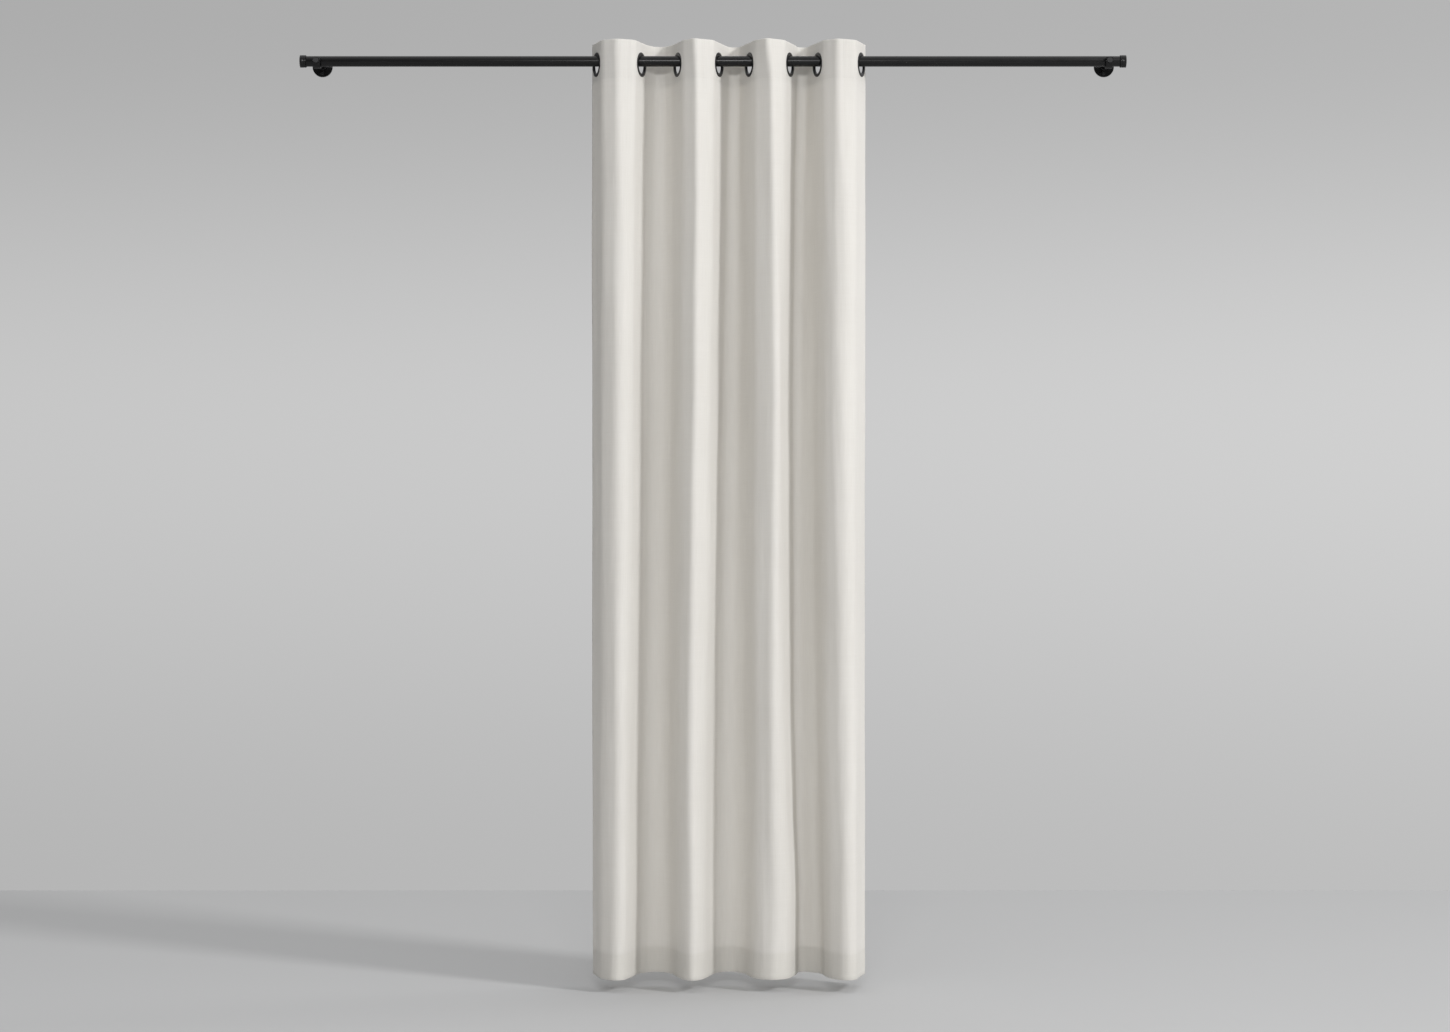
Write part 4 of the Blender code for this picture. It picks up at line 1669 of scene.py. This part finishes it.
    def build(self) -> None:
        """Builds every length of the panel with its tape and seams."""
        drape = self.drape
        tape_levels = self._levels(drape.top - 0.0012, drape.top - drape.header + 0.001, self.header_rows)
        tape_stations = [DropStation(height, 0.0, drape.top - height) for height in reversed(tape_levels)]
        header_seam = drape.top - drape.header + self.seam_inset
        hem_seam = drape.bottom + self.hem - self.seam_inset
        last = len(drape.eyelets)
        for fold, columns in enumerate(self.fold_columns()):
            cloth = self.sheet_piece(
                f"curtain_cloth_{fold}", self.course, columns, self.thickness, self.cloth
            )
            tape = self.sheet_piece(
                f"heading_tape_{fold}",
                tape_stations,
                columns,
                self.tape_thickness,
                self.tape_cloth,
            )
            sewn = [
                self.seam(f"header_stitches_{fold}", *columns, header_seam),
                self.seam(f"hem_stitches_{fold}", *columns, hem_seam),
            ]
            if fold in (0, last):
                band, line = self.side_piece(Side.LEFT if fold == 0 else Side.RIGHT)
                self.attach(band, fold)
                sewn.append(line)
            strip = min(max(fold, 1), last)
            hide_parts(f"cloth_strip_{strip}")
            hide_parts(f"header_stiffener_{strip}")
            for piece in (cloth, tape, *sewn):
                self.attach(piece, fold)


# ---------------------------------------------------------------------------------------------
# Studio
# ---------------------------------------------------------------------------------------------


@dataclass
class Studio:
    """A pale floor, a soft light from the right, a weak front fill and the camera."""

    rod: RodAssembly
    distance: float = 7.5
    lens: float = 69.5
    eye_below_rod: float = 1.218
    eye_beside_middle: float = 0.032
    floor_below_rod: float = 2.486
    floor_behind_rod: float = 1.98
    key_turn: float = 32.0
    key_height: float = 28.0
    key_distance: float = 13.0
    key_size: float = 1.7
    key_power: float = 830.0
    window_turn: float = -18.0
    window_height: float = 30.0
    window_size: float = 3.0
    window_power: float = 120.0
    fill_power: float = 235.0
    low_ambient: float = 0.265
    high_ambient: float = 0.95
    floor_width: float = 24.0
    floor_depth: float = 16.0
    ground_from: float = -0.14
    ground_to: float = 0.18
    # Painted light on the backdrop that the camera sees: greys by height, brightest across the middle, and
    # brighter to the right.
    backdrop_painted_light_greys: tuple[tuple[float, float], ...] = ((0.0, 0.49), (0.55, 0.60), (1.0, 0.44))
    painted_light_to_right: float = 0.22
    lit_to_right: float = 0.85
    ambient_colour: tuple[float, ...] = (0.985, 0.99, 1.0, 1.0)
    fill_size: tuple[float, float] = (2.6, 0.7)

    def middle(self) -> Vector:
        """The middle of the rod."""
        return self.rod.at((self.rod.low_x + self.rod.high_x) / 2)

    def build_floor(self) -> None:
        """A plain matt floor that ends behind the curtain."""
        depth = self.floor_depth
        back = self.rod.axis_y + self.floor_behind_rod
        deselect_all()
        bpy.ops.mesh.primitive_plane_add(
            size=1.0, location=(self.middle().x, back - depth / 2, self.rod.axis_z - self.floor_below_rod)
        )
        floor = bpy.context.object
        floor.name = "studio_floor"
        floor.scale = (self.floor_width, depth, 1.0)
        bpy.ops.object.transform_apply(location=True, rotation=True, scale=True)
        floor.data.materials.append(PaleFloor().build())

    def build_backdrop(self) -> None:
        """Light from above and all round, and a grey backdrop to be seen against, with painted light:
        brightest in a band across the middle, dimmer above and below, and brighter to the right.
        """
        world = bpy.data.worlds.new("studio")
        bpy.context.scene.world = world
        sheet = NodeSheet(world)
        parts = sheet.add("SeparateXYZ", {0: sheet.add("TexCoord").outputs["Generated"]}).outputs
        height = parts["Z"]
        # Painted light: a bright band across the middle of the backdrop.
        ramp = sheet.add("ValToRGB", {0: sheet.window(height, self.ground_from, self.ground_to)})
        ramp.color_ramp.interpolation = "EASE"
        ramp.color_ramp.elements.new(self.backdrop_painted_light_greys[1][0])
        for element, (place, grey) in zip(ramp.color_ramp.elements, self.backdrop_painted_light_greys):
            element.position = place
            element.color = (grey, grey, grey, 1.0)
        # Painted light: the backdrop brighter to the right, the side of the key light.
        painted_brighter_right = sheet.plus(1.0, sheet.times(parts["X"], self.painted_light_to_right))
        seen = sheet.add("Background", {0: ramp.outputs[0], 1: painted_brighter_right})
        overhead = sheet.maths("POWER", sheet.maths("MAXIMUM", height, 0.0), 2.0)
        from_right = sheet.plus(1.0, sheet.times(parts["X"], self.lit_to_right))
        all_round = sheet.times(from_right, self.low_ambient)
        strength = sheet.plus(all_round, sheet.times(overhead, self.high_ambient))
        lit = sheet.add("Background", {0: self.ambient_colour, 1: strength})
        camera_ray = sheet.add("LightPath").outputs["Is Camera Ray"]
        mix = sheet.add("MixShader", {0: camera_ray, 1: lit.outputs[0], 2: seen.outputs[0]})
        sheet.add("OutputWorld", {0: mix.outputs[0]})

    def lamp(
        self, name: str, size: tuple[float, float], power: float, place: Vector, target: Vector
    ) -> None:
        """A rectangular softbox turned towards a point.

        Args:
            name: The lamp's name.
            size: Its width and height.
            power: Its power in watts.
            place: Where it hangs.
            target: What it faces.
        """
        light = bpy.data.lights.new(name, "AREA")
        light.shape = "RECTANGLE"
        light.size, light.size_y = size
        light.energy = power
        box = bpy.data.objects.new(name, light)
        box.location = place
        box.rotation_mode = "QUATERNION"
        box.rotation_quaternion = (place - target).to_track_quat("Z", "Y")
        box.visible_camera = False
        bpy.context.scene.collection.objects.link(box)

    def build_lights(self) -> None:
        """A key from the right and in front, a wide one from behind on the right, and a front fill."""
        middle = self.middle() + Vector((0.0, 0.0, -self.eye_below_rod))
        for name, turn, height, size, power in (
            ("key", self.key_turn, self.key_height, self.key_size, self.key_power),
            ("window", self.window_turn, self.window_height, self.window_size, self.window_power),
        ):
            level = math.cos(math.radians(height))
            towards = Vector(
                (
                    math.cos(math.radians(turn)) * level,
                    -math.sin(math.radians(turn)) * level,
                    math.sin(math.radians(height)),
                )
            )
            self.lamp(name, (size, size), power, middle + towards * self.key_distance, middle)
        above = self.middle() + Vector((0.0, -self.distance - 1.0, 1.25))
        self.lamp("front_fill", self.fill_size, self.fill_power, above, middle)

    def build_camera(self) -> None:
        """A level camera in front of the curtain, at half its height."""
        camera = bpy.data.cameras.new("camera")
        camera.sensor_width = 36.0
        camera.lens = self.lens
        camera.clip_end = 100.0
        seat = bpy.data.objects.new("camera", camera)
        seat.location = self.middle() + Vector((self.eye_beside_middle, -self.distance, -self.eye_below_rod))
        seat.rotation_euler = (math.pi / 2, 0.0, 0.0)
        bpy.context.scene.collection.objects.link(seat)
        bpy.context.scene.camera = seat

    def build(self) -> None:
        """Builds the whole studio."""
        self.build_floor()
        self.build_backdrop()
        self.build_lights()
        self.build_camera()
        bpy.context.scene.view_settings.view_transform = "Standard"


def joint_place(name: str) -> Vector:
    """A hinge's place in the frame."""
    joint = next(item for item in frame["joints"] if item["name"] == name)
    return Vector(joint["pos_m"])


def main() -> None:
    """Builds the rod, the brackets, the eyelets and the curtain, and then the studio."""
    logging.basicConfig(level=logging.INFO, format="%(relativeCreated)6d ms %(name)s: %(message)s")
    count = sum(1 for node in frame["nodes"] if node.startswith("eyelet_ring_"))
    rod = RodAssembly()
    tube = rod.build()
    for side in Side:
        WallBracket(side, rod).build()
    washers = [node_middle(f"eyelet_washer_{number}") for number in range(1, count + 1)]
    rings = [node_middle(f"eyelet_ring_{number}") for number in range(1, count + 1)]
    centres = []
    for number, (washer, ring) in enumerate(zip(washers, rings), 1):
        hinge = joint_place("curtain_draw") if number == 1 else None
        x = hinge.x if hinge else 2 * joint_place(f"fold_{number - 1}").x - centres[-1].x
        centres.append(Vector((x, rod.axis_y, (washer.z + ring.z) / 2)))
    drape = Drape(eyelets=centres)
    eyelet_metal = EYELET_FINISH.build()
    for number, centre in enumerate(centres, 1):
        heading = (-1.0 if number % 2 else 1.0) * (math.pi / 2 - drape.tilt)
        Eyelet(number, centre, heading).build(eyelet_metal)
    Panel(drape, tube).build()
    Studio(rod).build()


if __name__ == "__main__":
    main()
